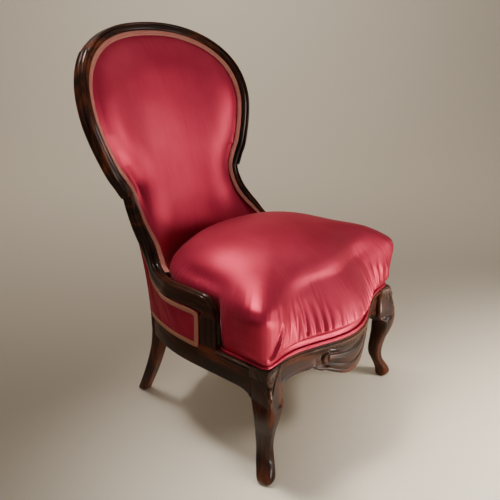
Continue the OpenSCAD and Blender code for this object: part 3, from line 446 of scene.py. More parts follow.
@dataclass(frozen=True)
class Woven(Finish):
    """Jute cloth: a plain weave of rough threads, with painted shade where the weave dips."""

    thread: tuple = (0.330, 0.225, 0.105)
    # dark is painted shade in the weave's low places, and also the darker of the random fibre tones
    dark: tuple = (0.130, 0.080, 0.035)
    pitch: float = 0.0022

    def dress(self, shader: Shader) -> bpy.types.Material:
        """Builds the weave on the piece's own flat cloth, with painted shade where it dips."""
        turns = 2 * math.pi / self.pitch
        along, across = ((way * turns).maths("SINE") for way in shader.cloth_ways())
        weave = (along * across) * 0.5 + 0.5
        fibre = shader.cloud(shader.place(), 900, 3)
        # darker where the weave dips, as painted shade, and where the fibre noise is low, as random tone
        cloth = shader.blend((weave * 0.6 + fibre * 0.6).between(0.2, 0.95), self.dark, self.thread)
        return shader.surface(
            Base_Color=cloth,
            Roughness=fibre * 0.15 + 0.78,
            Normal=shader.bump(weave + fibre * 0.4, self.pitch / 3, 0.8),
        )


@dataclass(frozen=True)
class Hair(Finish):
    """Curled hair stuffing, felted together."""

    dark: tuple = (0.020, 0.013, 0.008)
    light: tuple = (0.130, 0.085, 0.045)

    def dress(self, shader: Shader) -> bpy.types.Material:
        """Builds the tangle."""
        strands = shader.cloud(shader.place(), 340, 5, 6.0)
        tufts = shader.cloud(shader.place(), 45, 3)
        return shader.surface(
            Base_Color=shader.ramp(strands * 0.75 + tufts * 0.25, [(0.38, self.dark), (0.62, self.light)]),
            Roughness=strands * 0.2 + 0.75,
            Normal=shader.bump(strands, 0.0015, 1.0),
        )


@dataclass(frozen=True)
class Beech(Finish):
    """Plain beech: pale wood with short flecks, darkened by age."""

    grain: Grain = Grain.ACROSS
    pale: tuple = (0.420, 0.255, 0.130)
    deep: tuple = (0.230, 0.120, 0.055)

    def dress(self, shader: Shader) -> bpy.types.Material:
        """Builds the bare wood."""
        figure = shader.cloud(shader.place(self.grain.value), 34, 4, 0.6)
        flecks = shader.cloud(shader.place([0.3 + 0.7 * s for s in self.grain.value]), 420, 2).between(0.58, 0.7)
        wood = shader.ramp(figure, [(0.35, self.deep), (0.65, self.pale)])
        return shader.surface(
            Base_Color=shader.blend(flecks * 0.5, wood, self.deep),
            Roughness=figure * 0.2 + 0.5,
            Normal=shader.bump(flecks + figure, 0.0002, 0.5),
        )


@dataclass(frozen=True)
class Steel(Finish):
    """Old steel wire and screws, dulled and lightly rusted."""

    bright: tuple = (0.300, 0.300, 0.300)
    rust: tuple = (0.110, 0.045, 0.020)

    def dress(self, shader: Shader) -> bpy.types.Material:
        """Builds the metal."""
        rust = shader.cloud(shader.place(), 90, 5).between(0.5, 0.68)
        return shader.surface(
            Base_Color=shader.blend(rust, self.bright, self.rust),
            Metallic=1 - rust * 0.8,
            Roughness=rust * 0.4 + 0.35,
            Normal=shader.bump(rust, 0.0002, 0.6),
        )


@dataclass(frozen=True)
class PaleFloor(Finish):
    """The studio's plain pale floor."""

    colour: tuple = (0.68, 0.60, 0.49, 1.0)

    def dress(self, shader: Shader) -> bpy.types.Material:
        """Builds the plain floor."""
        return shader.surface(Base_Color=self.colour, Roughness=0.6)


UPRIGHT = Mahogany("mahogany_upright")
LEVEL = Mahogany("mahogany_deep", grain=Grain.DEEP)
ACROSS = Mahogany("mahogany_across", grain=Grain.ACROSS)
SATIN = Satin("crimson_satin")
HAIR = Hair("curled_hair")
HESSIAN = Woven("hessian_weave")
WEBBING = Woven("webbing_weave", pitch=0.0034)


class Loft:
    """Grows a mesh ring by ring with extrusions, and knows the vertices of each ring."""

    def __init__(self, closed: bool = True) -> None:
        """Starts an empty mesh, whose rings are closed or are open rows."""
        self.bm = bmesh.new()
        self.closed = closed
        self.layers = {name: self.bm.verts.layers.float.new(name) for name in ("hollow", "worn")}
        self.rings: list[list[Vert]] = []

    def links(self, ring: list[Vert]) -> list[bmesh.types.BMEdge]:
        """The edges along a ring."""
        ends = ring[1:] + ring[:1] if self.closed else ring[1:]
        return [self.bm.edges.get(pair) or self.bm.edges.new(pair) for pair in zip(ring, ends)]

    def add(self, points: Array, **marks: Array) -> None:
        """Grows the mesh by one ring.

        Args:
            points: Where the ring's points lie.
            marks: How hollow or worn the ring's first points are. The others are neither.
        """
        if not self.rings:
            ring = [self.bm.verts.new(p) for p in points]
            self.links(ring)
        else:
            made = bmesh.ops.extrude_edge_only(self.bm, edges=self.links(self.rings[-1]))["geom"]
            fresh = {v for v in made if isinstance(v, Vert)}
            ring = []
            for vert, point in zip(self.rings[-1], points):
                grown = next(o for o in (e.other_vert(vert) for e in vert.link_edges) if o in fresh)
                grown.co = point
                ring.append(grown)
        for name, values in marks.items():
            for vert, value in zip(ring, values):
                vert[self.layers[name]] = float(value)
        self.rings.append(ring)

    def through(self, grid: Iterable[Array]) -> "Loft":
        """Grows the mesh through all the rings of a grid."""
        for points in grid:
            self.add(points)
        return self

    def cap(self, *ends: int) -> "Loft":
        """Closes the rings of the given numbers with flat faces."""
        for end in ends:
            bmesh.ops.contextual_create(self.bm, geom=self.rings[end])
        return self

    def gather_in(self, end: int) -> "Loft":
        """Draws a ring together into one point."""
        ring = self.rings[end]
        middle = sum((v.co for v in ring), Vector()) / len(ring)
        bmesh.ops.pointmerge(self.bm, verts=ring, merge_co=middle)
        return self

    def lay_cloth(self, spots: Array) -> "Loft":
        """Lays a UV map on the mesh: metres along and across the cloth's long threads.

        Args:
            spots: The place on the flat cloth of each point of each ring. A ring may have one more, for its own
                start where it comes back to it.

        Returns:
            The loft itself.
        """
        layer = self.bm.loops.layers.uv.new(UV_MAP)
        places = {v: (i, j) for i, ring in enumerate(self.rings) for j, v in enumerate(ring)}
        last = len(self.rings[0])
        for face in self.bm.faces:
            found = [places[loop.vert] for loop in face.loops]
            wraps = spots.shape[1] > last and any(j == last - 1 for _, j in found)
            for loop, (i, j) in zip(face.loops, found):
                loop[layer].uv = spots[i, last if wraps and j == 0 else j]
        return self


def joined(lofts: Iterable[Loft]) -> Mesh:
    """One mesh of all the lofts, each with its own flat cloth."""
    whole = bmesh.new()
    whole.loops.layers.uv.new(UV_MAP)
    for loft in lofts:
        part = bpy.data.meshes.new("part")
        loft.bm.to_mesh(part)
        loft.bm.free()
        whole.from_mesh(part)
        bpy.data.meshes.remove(part)
    return whole


@dataclass(frozen=True)
class ChairSizes:
    """The chair's sizes in metres, as the solids have them."""

    crest_h: float = 0.905
    belly_h: float = 0.735
    belly_half_w: float = 0.251
    waist_h: float = 0.515
    waist_half_w: float = 0.179
    back_reach: float = 0.179
    back_lean: float = math.radians(17)
    back_hollow: float = 0.062
    crest_w: float = 0.022
    stile_w: float = 0.026
    stile_t: float = 0.027
    ear_len: float = 0.014
    ear_step: float = 0.002
    arm_h: float = 0.394
    arm_half_w: float = 0.244
    arm_w: float = 0.023
    arm_head_w: float = 0.018
    arm_t: float = 0.038
    bend_r: float = 0.046
    post_t: float = 0.048
    arm_reach: float = 0.113
    rail_h: float = 0.277
    rail_depth: float = 0.064
    rail_t: float = 0.028
    corner_reach: float = 0.252
    bow: float = 0.060
    bow_half_w: float = 0.215
    apron_depth: float = 0.106
    apron_half_w: float = 0.140
    apron_side_depth: float = 0.056
    panel_half_w: float = 0.086
    rear_reach: float = 0.147
    side_draw: float = 0.049
    rear_bow: float = 0.053
    front_foot_half_w: float = 0.266
    knee_half: float = 0.023
    ankle_half: float = 0.017
    foot_half: float = 0.019
    knee_out: float = 0.022
    block_draw: float = 1.35
    rear_foot_half_w: float = 0.203
    rear_leg_t: float = 0.034
    rear_foot_t: float = 0.028
    foot_rake: float = 0.082
    seat_h: float = 0.478
    seat_half_w: float = 0.262
    seat_corner_r: float = 0.017
    corner_puff: float = 0.018
    back_crown: float = 0.030
    cloth_t: float = 0.002
    gimp_w: float = 0.012
    gimp_t: float = 0.0016
    web_w: float = 0.050
    web_t: float = 0.0018
    web_gap: float = 0.0002
    hessian_t: float = 0.0015
    spring_pitch: float = 0.094
    spring_d: float = 0.084
    spring_waist_d: float = 0.050
    wire_d: float = 0.0036
    spring_turns: int = 4
    side_stuffing: float = 0.024
    fit_gap: float = 0.0003
    rebate: float = 0.004
    panel_rise: float = 0.014
    rail_flare: float = 0.016

    @property
    def set_back(self) -> float:
        """How far the chair's own middle lies behind the middle of its seat."""
        lean = self.back_lean
        crest = self.back_reach + self.back_hollow + (self.crest_h - self.waist_h) * math.tan(lean)
        rear = crest + self.stile_t * math.cos(lean) + self.crest_w * math.sin(lean)
        return (rear - self.corner_reach - self.bow) / 2

    @property
    def leg_drop(self) -> float:
        """Height of the seat rails' lower edge."""
        return self.rail_h - self.rail_depth

    @property
    def panel_low(self) -> float:
        """Height of the ledge that the side and outside cloth stand on."""
        return self.rail_h - self.panel_rise

    @property
    def leg_mid(self) -> Array:
        """The middle of a front leg's block in plan."""
        inward = self.block_draw * self.knee_half * math.sqrt(0.5)
        return np.array([self.front_foot_half_w - inward, inward - self.corner_reach])

    def front_y(self, x: Number) -> Number:
        """Where the front rail's face lies."""
        turn = np.pi * np.minimum(1, np.abs(x) / self.bow_half_w)
        return -self.corner_reach - self.bow * (1 + np.cos(turn)) / 2

    def side_x(self, y: Number) -> Number:
        """Where a side rail's outer face lies."""
        share = np.maximum(0, (y + 0.06) / (self.rear_reach + 0.06))
        return self.leg_mid[0] + self.knee_half - self.side_draw * share**2.4

    def rear_y(self, x: Number) -> Number:
        """Where the rear rail's outer face lies."""
        return self.rear_reach + self.rear_bow * (1 - np.square(x / self.side_x(self.rear_reach)))


class Workshop:
    """Turns finished meshes into pieces of the chair."""

    def __init__(self, sizes: ChairSizes) -> None:
        """Keeps the chair's sizes."""
        self.sizes = sizes

    def piece(
        self,
        name: str,
        mesh: Mesh,
        finish: Finish,
        slot: str,
        replaces: Sequence[str] = (),
        side: int = 1,
        crease: float = 38.0,
        thick: float = 0.0,
        facing: tuple[float, float, float] = (0.0, 0.0, 1.0),
    ) -> bpy.types.Object:
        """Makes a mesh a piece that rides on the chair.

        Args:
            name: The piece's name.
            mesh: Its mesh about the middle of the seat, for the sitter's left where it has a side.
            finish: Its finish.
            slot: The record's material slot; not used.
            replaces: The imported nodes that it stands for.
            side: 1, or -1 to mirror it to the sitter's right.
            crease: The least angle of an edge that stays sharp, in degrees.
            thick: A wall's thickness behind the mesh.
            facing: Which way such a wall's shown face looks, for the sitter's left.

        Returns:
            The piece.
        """
        if side < 0:
            bmesh.ops.scale(mesh, vec=(-1, 1, 1), verts=mesh.verts)
        bmesh.ops.translate(mesh, vec=(0, -self.sizes.set_back, 0), verts=mesh.verts)
        bmesh.ops.recalc_face_normals(mesh, faces=mesh.faces)
        if thick:
            lean = sum((face.normal * face.calc_area() for face in mesh.faces), Vector())
            if lean.dot(Vector((facing[0] * side, facing[1], facing[2]))) < 0:
                bmesh.ops.reverse_faces(mesh, faces=mesh.faces)
        data = bpy.data.meshes.new(name)
        mesh.to_mesh(data)
        mesh.free()
        data.shade_smooth()
        data.set_sharp_from_angle(angle=math.radians(crease))
        data.materials.append(finish.material())
        made = put(name, data)
        if thick:
            wall = made.modifiers.new("wall", "SOLIDIFY")
            wall.thickness, wall.offset = thick, -1
        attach(made, BODY)
        if replaces:
            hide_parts(*replaces)
        log.info("%s: %d faces, stands for %s", name, len(data.polygons), ", ".join(replaces) or "no node")
        return made


class BackLine:
    """The inner edge of the back frame and the arms, by places counted as in the solids."""

    crest_angles = (90, 84, 77, 69, 60, 51, 42, 33, 24, 16, 8, 0)
    crest_power = 2.3
    # each knot's share outward from the waist to the belly, and its share upward
    stile_shares = ((0.96, 0.87), (0.80, 0.67), (0.51, 0.42), (0.25, 0.28), (0.04, 0.14))
    # each knot's shares from the waist to the arm: outward, forward and downward
    sweep_shares = (
        (0.015, 0.054, 0.27), (0.08, 0.126, 0.48), (0.17, 0.197, 0.645), (0.35, 0.275, 0.87),
        (0.52, 0.34, 0.99), (0.76, 0.464, 1.04), (0.92, 0.56, 1.02),
    )  # fmt: skip
    level_share = 0.83
    bend_step = 18
    place_step = 0.1
    crest_joint = 6
    crest_end = 11
    waist_joint = 21
    sweep_end = 41
    arm_joint = 46

    def __init__(self, sizes: ChairSizes) -> None:
        """Works out the edge and how long it is at each place."""
        self.sizes = s = sizes
        waist = self.on_back(s.waist_half_w, s.waist_h)
        self.bend_start = np.array([s.arm_half_w, s.bend_r - s.arm_reach, s.arm_h])
        stile = [
            self.on_back(mix(s.waist_half_w, s.belly_half_w, a), mix(s.waist_h, s.belly_h, b))
            for a, b in self.stile_shares
        ]
        sweep = [
            np.array([mix(s.waist_half_w, s.arm_half_w, a), mix(waist[1], -s.arm_reach, b), mix(s.waist_h, s.arm_h, c)])
            for a, b, c in self.sweep_shares
        ]
        level = mix(np.array([s.arm_half_w, waist[1], s.arm_h]), self.bend_start, self.level_share)
        self.knots = [
            self.crest_point(self.crest_end - 1),
            self.crest_point(self.crest_end),
            *stile,
            waist,
            *sweep,
            level,
            self.bend_start,
        ]
        self.places = np.arange(0, self.arm_joint + self.place_step / 2, self.place_step)
        self.points = np.array([self.point(i) for i in self.places])
        self.runs = runs_along(self.points)

    def back_y(self, x: Number, z: Number) -> Number:
        """Where the hollow, leaning face of the back lies."""
        s = self.sizes
        return s.back_reach + (z - s.waist_h) * math.tan(s.back_lean) + s.back_hollow * (1 - (x / s.belly_half_w) ** 2)

    def on_back(self, x: float, z: float) -> Array:
        """The point of the back's face at x and z."""
        return np.array([x, self.back_y(x, z), z])

    def crest_point(self, i: float) -> Array:
        """A point of the crest's edge."""
        s = self.sizes
        angle = math.radians(np.interp(i, range(len(self.crest_angles)), self.crest_angles))
        power = 2 / self.crest_power
        return self.on_back(
            s.belly_half_w * math.cos(angle) ** power if i > 0 else 0.0,
            s.belly_h + (s.crest_h - s.belly_h) * math.sin(angle) ** power,
        )

    def point(self, i: float) -> Array:
        """The point of the edge at a place."""
        if i <= self.crest_end:
            return self.crest_point(i)
        if i <= self.sweep_end:
            return spline(self.knots, 1 + (i - self.crest_end) / 2)
        angle = math.radians(self.bend_step * (i - self.sweep_end))
        return self.bend_start + self.sizes.bend_r * np.array([0, -math.sin(angle), math.cos(angle) - 1])

    def run(self, i: float) -> float:
        """How far along the edge a place lies, from the middle of the crest."""
        return float(np.interp(i, self.places, self.runs))

    def place(self, run: float) -> float:
        """The place that lies that far along the edge."""
        return float(np.interp(run, self.runs, self.places))

    def frame(self, i: float) -> Trio:
        """The point at a place, the way out of the face, and the way outward across it."""
        s = self.sizes
        point = self.point(i)
        if i <= 0:
            along = np.array([1.0, 0, 0])
        elif i >= self.arm_joint:
            along = np.array([0, 0, -1.0])
        else:
            step = min(0.5, i, self.arm_joint - i)
            along = unit(self.point(i + step) - self.point(i - step))
        back = np.array([-2 * s.back_hollow * point[0] / s.belly_half_w**2, -1, math.tan(s.back_lean)])
        guide = mix(np.array([0, -0.3, 1]), back, smooth((point[2] - s.arm_h) / (s.waist_h - s.arm_h)))
        out = unit(guide - (guide @ along) * along)
        return point, out, np.cross(out, along)

    def edge(self, i: float, out: Number, deep: Number) -> Array:
        """Points beside the edge, so far outward across the face and so deep below it."""
        point, face, across = self.frame(i)
        return point + np.multiply.outer(out, across) - np.multiply.outer(deep, face)

    def width(self, i: float) -> float:
        """The face's width at a place."""
        s = self.sizes
        if i <= self.crest_end:
            return mix(s.crest_w, s.stile_w, i / self.crest_end)
        if i <= self.waist_joint:
            ear = max(0.0, 1 - (self.run(self.waist_joint) - self.run(i)) / s.ear_len)
            return s.stile_w - s.ear_step * ear
        share = (i - self.waist_joint) / (self.sweep_end - self.waist_joint)
        return mix(s.arm_head_w, s.arm_w, smooth(3 * share))

    def depth(self, i: float) -> float:
        """The frame's thickness at a place."""
        s = self.sizes
        if i <= self.waist_joint:
            return s.stile_t
        if i <= self.sweep_end:
            return mix(s.stile_t, s.arm_t, smooth((i - self.waist_joint) / (self.sweep_end - self.waist_joint)))
        return mix(s.arm_t, s.post_t, ((i - self.sweep_end) / (self.arm_joint - self.sweep_end)) ** 4)


def moulding() -> Array:
    """The frame's section as shares of its width and depth: fillet, bead, cove, outer bead and plain back."""
    face = [
        (0.0, 0.18), (0.008, 0.12), (0.03, 0.1), (0.06, 0.1), (0.075, 0.085), (0.085, 0.05), (0.12, 0.012),
        (0.19, -0.018), (0.28, -0.03), (0.37, -0.025), (0.46, -0.002), (0.54, 0.035), (0.585, 0.062), (0.6, 0.1),
        (0.615, 0.125), (0.645, 0.125), (0.66, 0.1), (0.675, 0.055), (0.72, 0.022), (0.79, 0.008), (0.86, 0.022),
        (0.92, 0.06), (0.97, 0.13), (1.0, 0.22),
    ]  # fmt: skip
    fine = [spline(np.array(face), t) for t in np.arange(0, len(face) - 0.999, 0.5)]
    rear = [
        (0.997, 0.28), (0.985, 0.35), (0.975, 0.42), (0.968, 0.47), (0.965, 0.495), (0.975, 0.505), (0.99, 0.53),
        (1.0, 0.58), (1.006, 0.65), (1.004, 0.73), (0.995, 0.8), (0.98, 0.87), (0.955, 0.93), (0.92, 0.975),
        (0.87, 1), (0.5, 1), (0.04, 1), (0, 0.97), (0, 0.6),
    ]  # fmt: skip
    return np.array([*fine, *rear])


@dataclass
class BackFrame:
    """The moulded show-wood frame: crest, stiles, arms and arm posts."""

    shop: Workshop
    line: BackLine
    pitch: float = 0.0042
    joint_gap: float = 0.0004
    joint_ease: float = 0.985
    husk_z: tuple[float, ...] = (0.333, 0.319, 0.305, 0.292)
    husk_across: float = 0.0078
    husk_aside: float = 0.0022
    husk_half: tuple[float, float] = (0.0072, 0.0027)
    husk_high: float = 0.0021
    husk_lean: tuple[float, float] = (0.62, 0.78)
    stem_half_w: float = 0.0009
    foot_h: float = 0.012
    foot_high: float = 0.0025
    front_deep: float = 0.32
    carve_step: float = 0.34
    section: Array = field(default_factory=moulding)

    def ring(self, i: float, ease: float = 1.0, width: float | None = None) -> Array:
        """The frame's section at a place, drawn in by ease where a joint's edge is."""
        w = width or self.line.width(i)
        points = self.line.edge(abs(i), self.section[:, 0] * w, self.section[:, 1] * self.line.depth(abs(i)))
        points = mix(points.mean(axis=0), points, ease)
        return points * MIRROR_X if i < 0 else points

    def stations(self, first: float, last: float) -> list[tuple[float, float]]:
        """Places along a member and how far each is drawn in, with a fine open joint at both ends."""
        a, b = (math.copysign(self.line.run(abs(i)), i) for i in (first, last))
        inner = np.linspace(a + self.joint_gap, b - self.joint_gap, max(4, round((b - a) / self.pitch)))
        places = [math.copysign(self.line.place(abs(r)), r) for r in inner]
        return [(first, self.joint_ease), *((i, 1.0) for i in places), (last, self.joint_ease)]

    def member(self, first: float, last: float) -> Mesh:
        """The frame between two places."""
        loft = Loft()
        joint = self.line.waist_joint
        share, deep = self.section.T
        beads = (bell(share - 0.57, 0.03) + bell(share - 0.9, 0.06)) * (deep < 0.2)
        rubbed = beads + bell(deep - 0.62, 0.08) * (share > 0.9)
        groove = bell(share - 0.63, 0.025) * (deep < 0.3) + bell(deep - 0.49, 0.03) * (share > 0.9)
        for k, (i, ease) in enumerate(self.stations(first, last)):
            head = self.line.sizes.arm_head_w if first == joint and i <= joint + 0.02 else None
            patch = 0.25 + 0.75 * max(0.0, rough(k * 0.05, first, 0.3) * 2)
            loft.add(self.ring(i, ease, head), worn=rubbed * patch * 0.5, hollow=groove * 0.35)
        return loft.cap(0, -1).bm

    def husks(self, across: Array, z: float) -> Array:
        """The height of the small carved husks on a post's front, 0 to 1."""
        height = np.zeros_like(across)
        aside = across - self.husk_across
        flat, steep = self.husk_lean
        for top in self.husk_z:
            for way in (-1, 1):
                u, v = aside * way - self.husk_aside, z - top
                along, over = u * flat - v * steep, u * steep + v * flat
                leaf = dome(np.hypot((along - 0.001) / self.husk_half[0], over / self.husk_half[1]))
                height = np.maximum(height, leaf * (1 - 0.45 * bell(over, 0.0007)))
        inside = self.husk_z[-1] - 0.008 < z < self.husk_z[0] + 0.006
        return np.maximum(height, bell(aside, self.stem_half_w) * (0.6 if inside else 0.0))

    def post(self) -> Mesh:
        """An arm post, with its husks carved on the front."""
        s = self.line.sizes
        share, depth = self.section.T
        fine = np.arange(0, len(share), self.carve_step)
        outer, deep, front = (
            np.interp(fine, range(len(share)), values)
            for values in (share * s.arm_w, depth * s.post_t, (depth < self.front_deep).astype(float))
        )
        front = front > 0.5
        top = s.arm_h - s.bend_r
        loft = Loft()
        levels = np.concatenate([[top], np.linspace(top - self.joint_gap, s.rail_h, 96)])
        for k, z in enumerate(levels):
            carved = self.husks(outer, z) * front
            foot = smooth((s.rail_h + self.foot_h - z) / self.foot_h) * front
            y = deep - s.arm_reach - self.husk_high * carved - self.foot_high * foot
            points = np.stack([s.arm_half_w + outer, y, np.full_like(outer, z)], axis=1)
            if k == 0:
                points = mix(points.mean(axis=0), points, self.joint_ease)
            near = bell(z - 0.312, 0.03) * front * bell(outer - self.husk_across, 0.006)
            loft.add(points, hollow=near * (1 - carved) * 0.9, worn=carved * 0.9 + foot * 0.4)
        return loft.cap(0, -1).bm

    def make(self) -> None:
        """Makes all the pieces of the frame."""
        line = self.line
        crest = self.member(-line.crest_joint, line.crest_joint)
        self.shop.piece("crest_moulding", crest, ACROSS, "mahogany", ["crest_rail"])
        for side, hand in HANDS:
            stile = self.member(line.crest_joint, line.waist_joint)
            self.shop.piece(f"stile_moulding_{hand}", stile, UPRIGHT, "mahogany", [f"upper_stile_{hand}"], side)
            arm = self.member(line.waist_joint, line.arm_joint)
            self.shop.piece(f"arm_moulding_{hand}", arm, LEVEL, "mahogany", [f"arm_rail_{hand}"], side)
            self.shop.piece(f"arm_post_carved_{hand}", self.post(), UPRIGHT, "mahogany", [f"arm_post_{hand}"], side)


def leaf_band(run: Array, share: Array, pitch: Number) -> Array:
    """The height of a band of small overlapping leaves, 0 to 1.

    Args:
        run: How far along the band.
        share: How far down it, from 0 to 1.
        pitch: The width of a leaf.

    Returns:
        The heights.
    """
    turn = run / pitch + 0.45 * share
    phase = turn - np.floor(turn)
    lobe = dome((phase - 0.5) * 1.9 / np.clip(1.25 - 0.55 * share, 0.3, 2))
    veins = 0.42 * bell(phase - 0.5, 0.07) + 0.2 * bell(np.abs(phase - 0.5) - 0.25, 0.05)
    ends = smooth(share * 7) * smooth((1 - share) * 5)
    return np.clip(lobe * (1 - veins), 0, 1) * ends


@dataclass
class FrontLegs:
    """Cabriole front legs with a carved knee: a bud and a drop between two ribbons."""

    shop: Workshop
    sizes: ChairSizes
    drop_z: float = 0.2115
    drop_h: float = 0.052
    drop_half_w: float = 0.0246
    ribbon_half_w: float = 0.0013
    ribbon_high: float = 0.0013
    field_deep: float = 0.0021
    drop_low: float = 0.008
    drop_len: float = 0.025
    bud_up: float = 0.0405
    bud_half: tuple[float, float] = (0.0098, 0.0066)
    bud_high: float = 0.0048
    collar_up: float = 0.0335
    collar_deep: float = 0.0006
    leaves_z: float = 0.2525
    leaf_w: float = 0.0092
    leaf_high: float = 0.0024
    line_deep: float = 0.0009
    fine_from: float = 0.2
    fine_step: float = 0.0009
    # heights, and how far the leg is shifted sideways there
    shifts: tuple[tuple[float, float], ...] = (
        (0.0, 0.002), (0.1, 0.0025), (0.15, 0.004), (0.19, 0.005), (0.213, 0.004), (0.24, 0.002), (0.277, 0.001),
    )  # fmt: skip

    def levels(self) -> Array:
        """The leg's rings: height, outer, side and inner corners, half width and how round its corners are."""
        s = self.sizes
        top, foot, ankle, knee = s.leg_drop, s.foot_half, s.ankle_half, s.knee_half
        mid = -s.block_draw * knee
        half = knee * math.sqrt(2)
        back = mid - half
        inner = ankle * 1.3
        return np.array([
            (0, foot * 0.9, 0, -foot * 0.6, foot * 0.8, 0.42),
            (top * 0.025, foot * 1.25, foot * 0.2, -foot * 0.75, foot * 1.02, 0.42),
            (top * 0.07, foot * 1.25, foot * 0.15, -foot * 0.8, foot * 1.12, 0.42),
            (top * 0.15, foot * 0.75, -foot * 0.15, -foot * 1.1, foot * 1.1, 0.42),
            (top * 0.235, foot * 0.1, -inner * 0.62, -foot * 1.55, ankle * 1.18, 0.4),
            (top * 0.33, -ankle * 0.18, -inner * 0.95, -inner - ankle, ankle * 1.12, 0.38),
            (top * 0.44, -ankle * 0.12, -inner, -inner * 1.1 - ankle, ankle * 1.18, 0.36),
            (top * 0.57, s.knee_out * 0.18, -inner * 0.82, -inner - ankle, ankle * 1.34, 0.33),
            (top * 0.68, s.knee_out * 0.6, -inner * 0.55, -inner - ankle * 0.92, ankle * 1.52, 0.3),
            (top * 0.785, s.knee_out * 0.92, -inner * 0.4, -inner - ankle * 0.94, knee * 1.24, 0.27),
            (top * 0.87, s.knee_out, -inner * 0.6, mid * 1.25, knee * 1.34, 0.25),
            (top - s.rail_flare, s.knee_out * 0.98, mid * 0.95, back, half * 0.98, 0.16),
            (top, s.knee_out * 0.84, mid, back, half, 0.16),
            (mix(top, s.rail_h, 0.45), s.knee_out * 0.46, mid, back, half, 0.16),
            (mix(top, s.rail_h, 0.85), s.knee_out * 0.32, mid, back, half, 0.16),
            (s.rail_h, s.knee_out * 0.1, mid, back, half, 0.16),
        ])  # fmt: skip

    @staticmethod
    def ring(out: float, mid: float, back: float, half: float, soft: float) -> Array:
        """A kite with rounded corners in plan: across the chair's corner, and along its side."""
        k = 1 - soft / 2
        wide = half / k
        corners = np.array([[(out - mid) / k + mid, 0], [mid, wide], [(back - mid) / k + mid, 0], [mid, -wide]])
        points: list[Array] = []
        for q in range(4):
            here, before, after = corners[q], corners[q - 1], corners[(q + 1) % 4]
            a, b = mix(here, before, soft), mix(here, after, soft)
            for t in np.linspace(0, 1, 9):
                points.append(mix(mix(a, here, t), mix(here, b, t), t))
            far = mix(after, here, soft)
            count = 36 if q in (0, 3) else 6
            points += [mix(b, far, t) for t in np.linspace(0, 1, count + 2)[1:-1]]
        return np.array(points)

    def knee(self, side: Array, z: float) -> Trio:
        """The carving of the knee.

        Args:
            side: How far each point lies beside the leg's outer corner.
            z: The height.

        Returns:
            How far each point stands out, how hollow it is and how worn it is.
        """
        s = self.sizes
        h = z - self.drop_z
        share = max(h, 0.0) / self.drop_h
        edge = self.drop_half_w * share**1.2
        a = np.abs(side)
        fade = float(smooth((s.rail_h - 0.004 - z) / 0.008))
        ridge = bell(a - edge, self.ribbon_half_w) * (1.0 if h > 0 else math.exp(-((h / 0.006) ** 2))) * fade
        inside = smooth((edge - 0.0006 - a) / 0.0022) * smooth(h / 0.006)
        t = (h - self.drop_low) / self.drop_len
        drop_w = 0.0078 * math.sqrt(max(t, 1e-4)) * (1.08 - 0.12 * t)
        drop = dome(a / drop_w) * (smooth(t * 5) * smooth((1.02 - t) * 9)) if 0 < t < 1.05 else 0 * a
        bud = dome(np.hypot(side / self.bud_half[0], (h - self.bud_up) / self.bud_half[1]))
        collar = bell(h - self.collar_up, 0.0011) * (a < 0.0085)
        leaves_h = float(smooth((z - self.leaves_z) / 0.004) * smooth((s.rail_h - 0.001 - z) / 0.003))
        down = np.full_like(side, np.clip((s.rail_h - z) / 0.024, 0, 1))
        leaves = leaf_band(side + 0.2, down, self.leaf_w) * leaves_h
        high = self.ribbon_high * ridge - self.field_deep * inside + self.bud_high * np.maximum(drop * 0.8, bud)
        high = high - self.collar_deep * collar + self.leaf_high * leaves
        raised = np.maximum.reduce([drop, bud, leaves, ridge])
        hollow = np.clip(inside * (1 - raised) * 0.8 + leaves_h * (1 - leaves) * 0.9, 0, 1)
        return high, hollow, np.clip(ridge * 0.6 + bud * 0.25 + leaves * 0.7, 0, 1)

    def leg(self) -> Mesh:
        """A front leg."""
        s = self.sizes
        rings = self.levels()
        ahead, beside = np.array([1, -1, 0]) * math.sqrt(0.5), np.array([1, 1, 0]) * math.sqrt(0.5)
        shifts = np.array(self.shifts).T
        axis = np.array([s.front_foot_half_w, -s.corner_reach, 0])
        fine = np.arange(self.fine_from, s.rail_h, self.fine_step)
        loft = Loft()
        for z in [*np.linspace(0, self.fine_from, 70, endpoint=False), *fine, s.rail_h]:
            k = float(np.interp(z, rings[:, 0], range(len(rings))))
            _, out, mid, back, half, soft = spline(rings, k)
            flat = self.ring(out, mid, back, half, soft)
            normal = unit(square_to(ways_along(flat)))
            normal = normal * np.sign(np.sum(normal * (flat - [mid, 0])))
            outer = smooth((flat[:, 0] - mid) / 0.006)
            high, hollow, worn = self.knee(flat[:, 1], float(z))
            lower = smooth((0.205 - z) / 0.02) * smooth((z - 0.02) / 0.02)
            line = bell(np.abs(flat[:, 1]) - half * 0.86, 0.0016) * outer * lower
            corner = bell(flat[:, 1], 0.003) * outer * 0.5
            flat = flat + normal * ((high * outer - self.line_deep * line)[:, None])
            flat[:, 1] *= 1 + 0.16 * bell(z - 0.2, 0.035) * (flat[:, 1] < 0)
            skew = mix(0.002, 0.0045, float(smooth((z - 0.05) / 0.1))) * smooth((flat[:, 0] - mid) / (out - mid))
            flat[:, 1] -= float(np.interp(z, *shifts)) + skew
            points = axis + flat[:, :1] * ahead + flat[:, 1:] * beside + np.array([0, 0, z])
            loft.add(points, hollow=hollow * outer + line * 0.4, worn=np.clip(worn * outer + corner, 0, 1))
        return loft.cap(0, -1).bm

    def make(self) -> None:
        """Makes both front legs."""
        for side, hand in HANDS:
            self.shop.piece(f"front_leg_carved_{hand}", self.leg(), UPRIGHT, "mahogany", [f"front_leg_{hand}"], side)


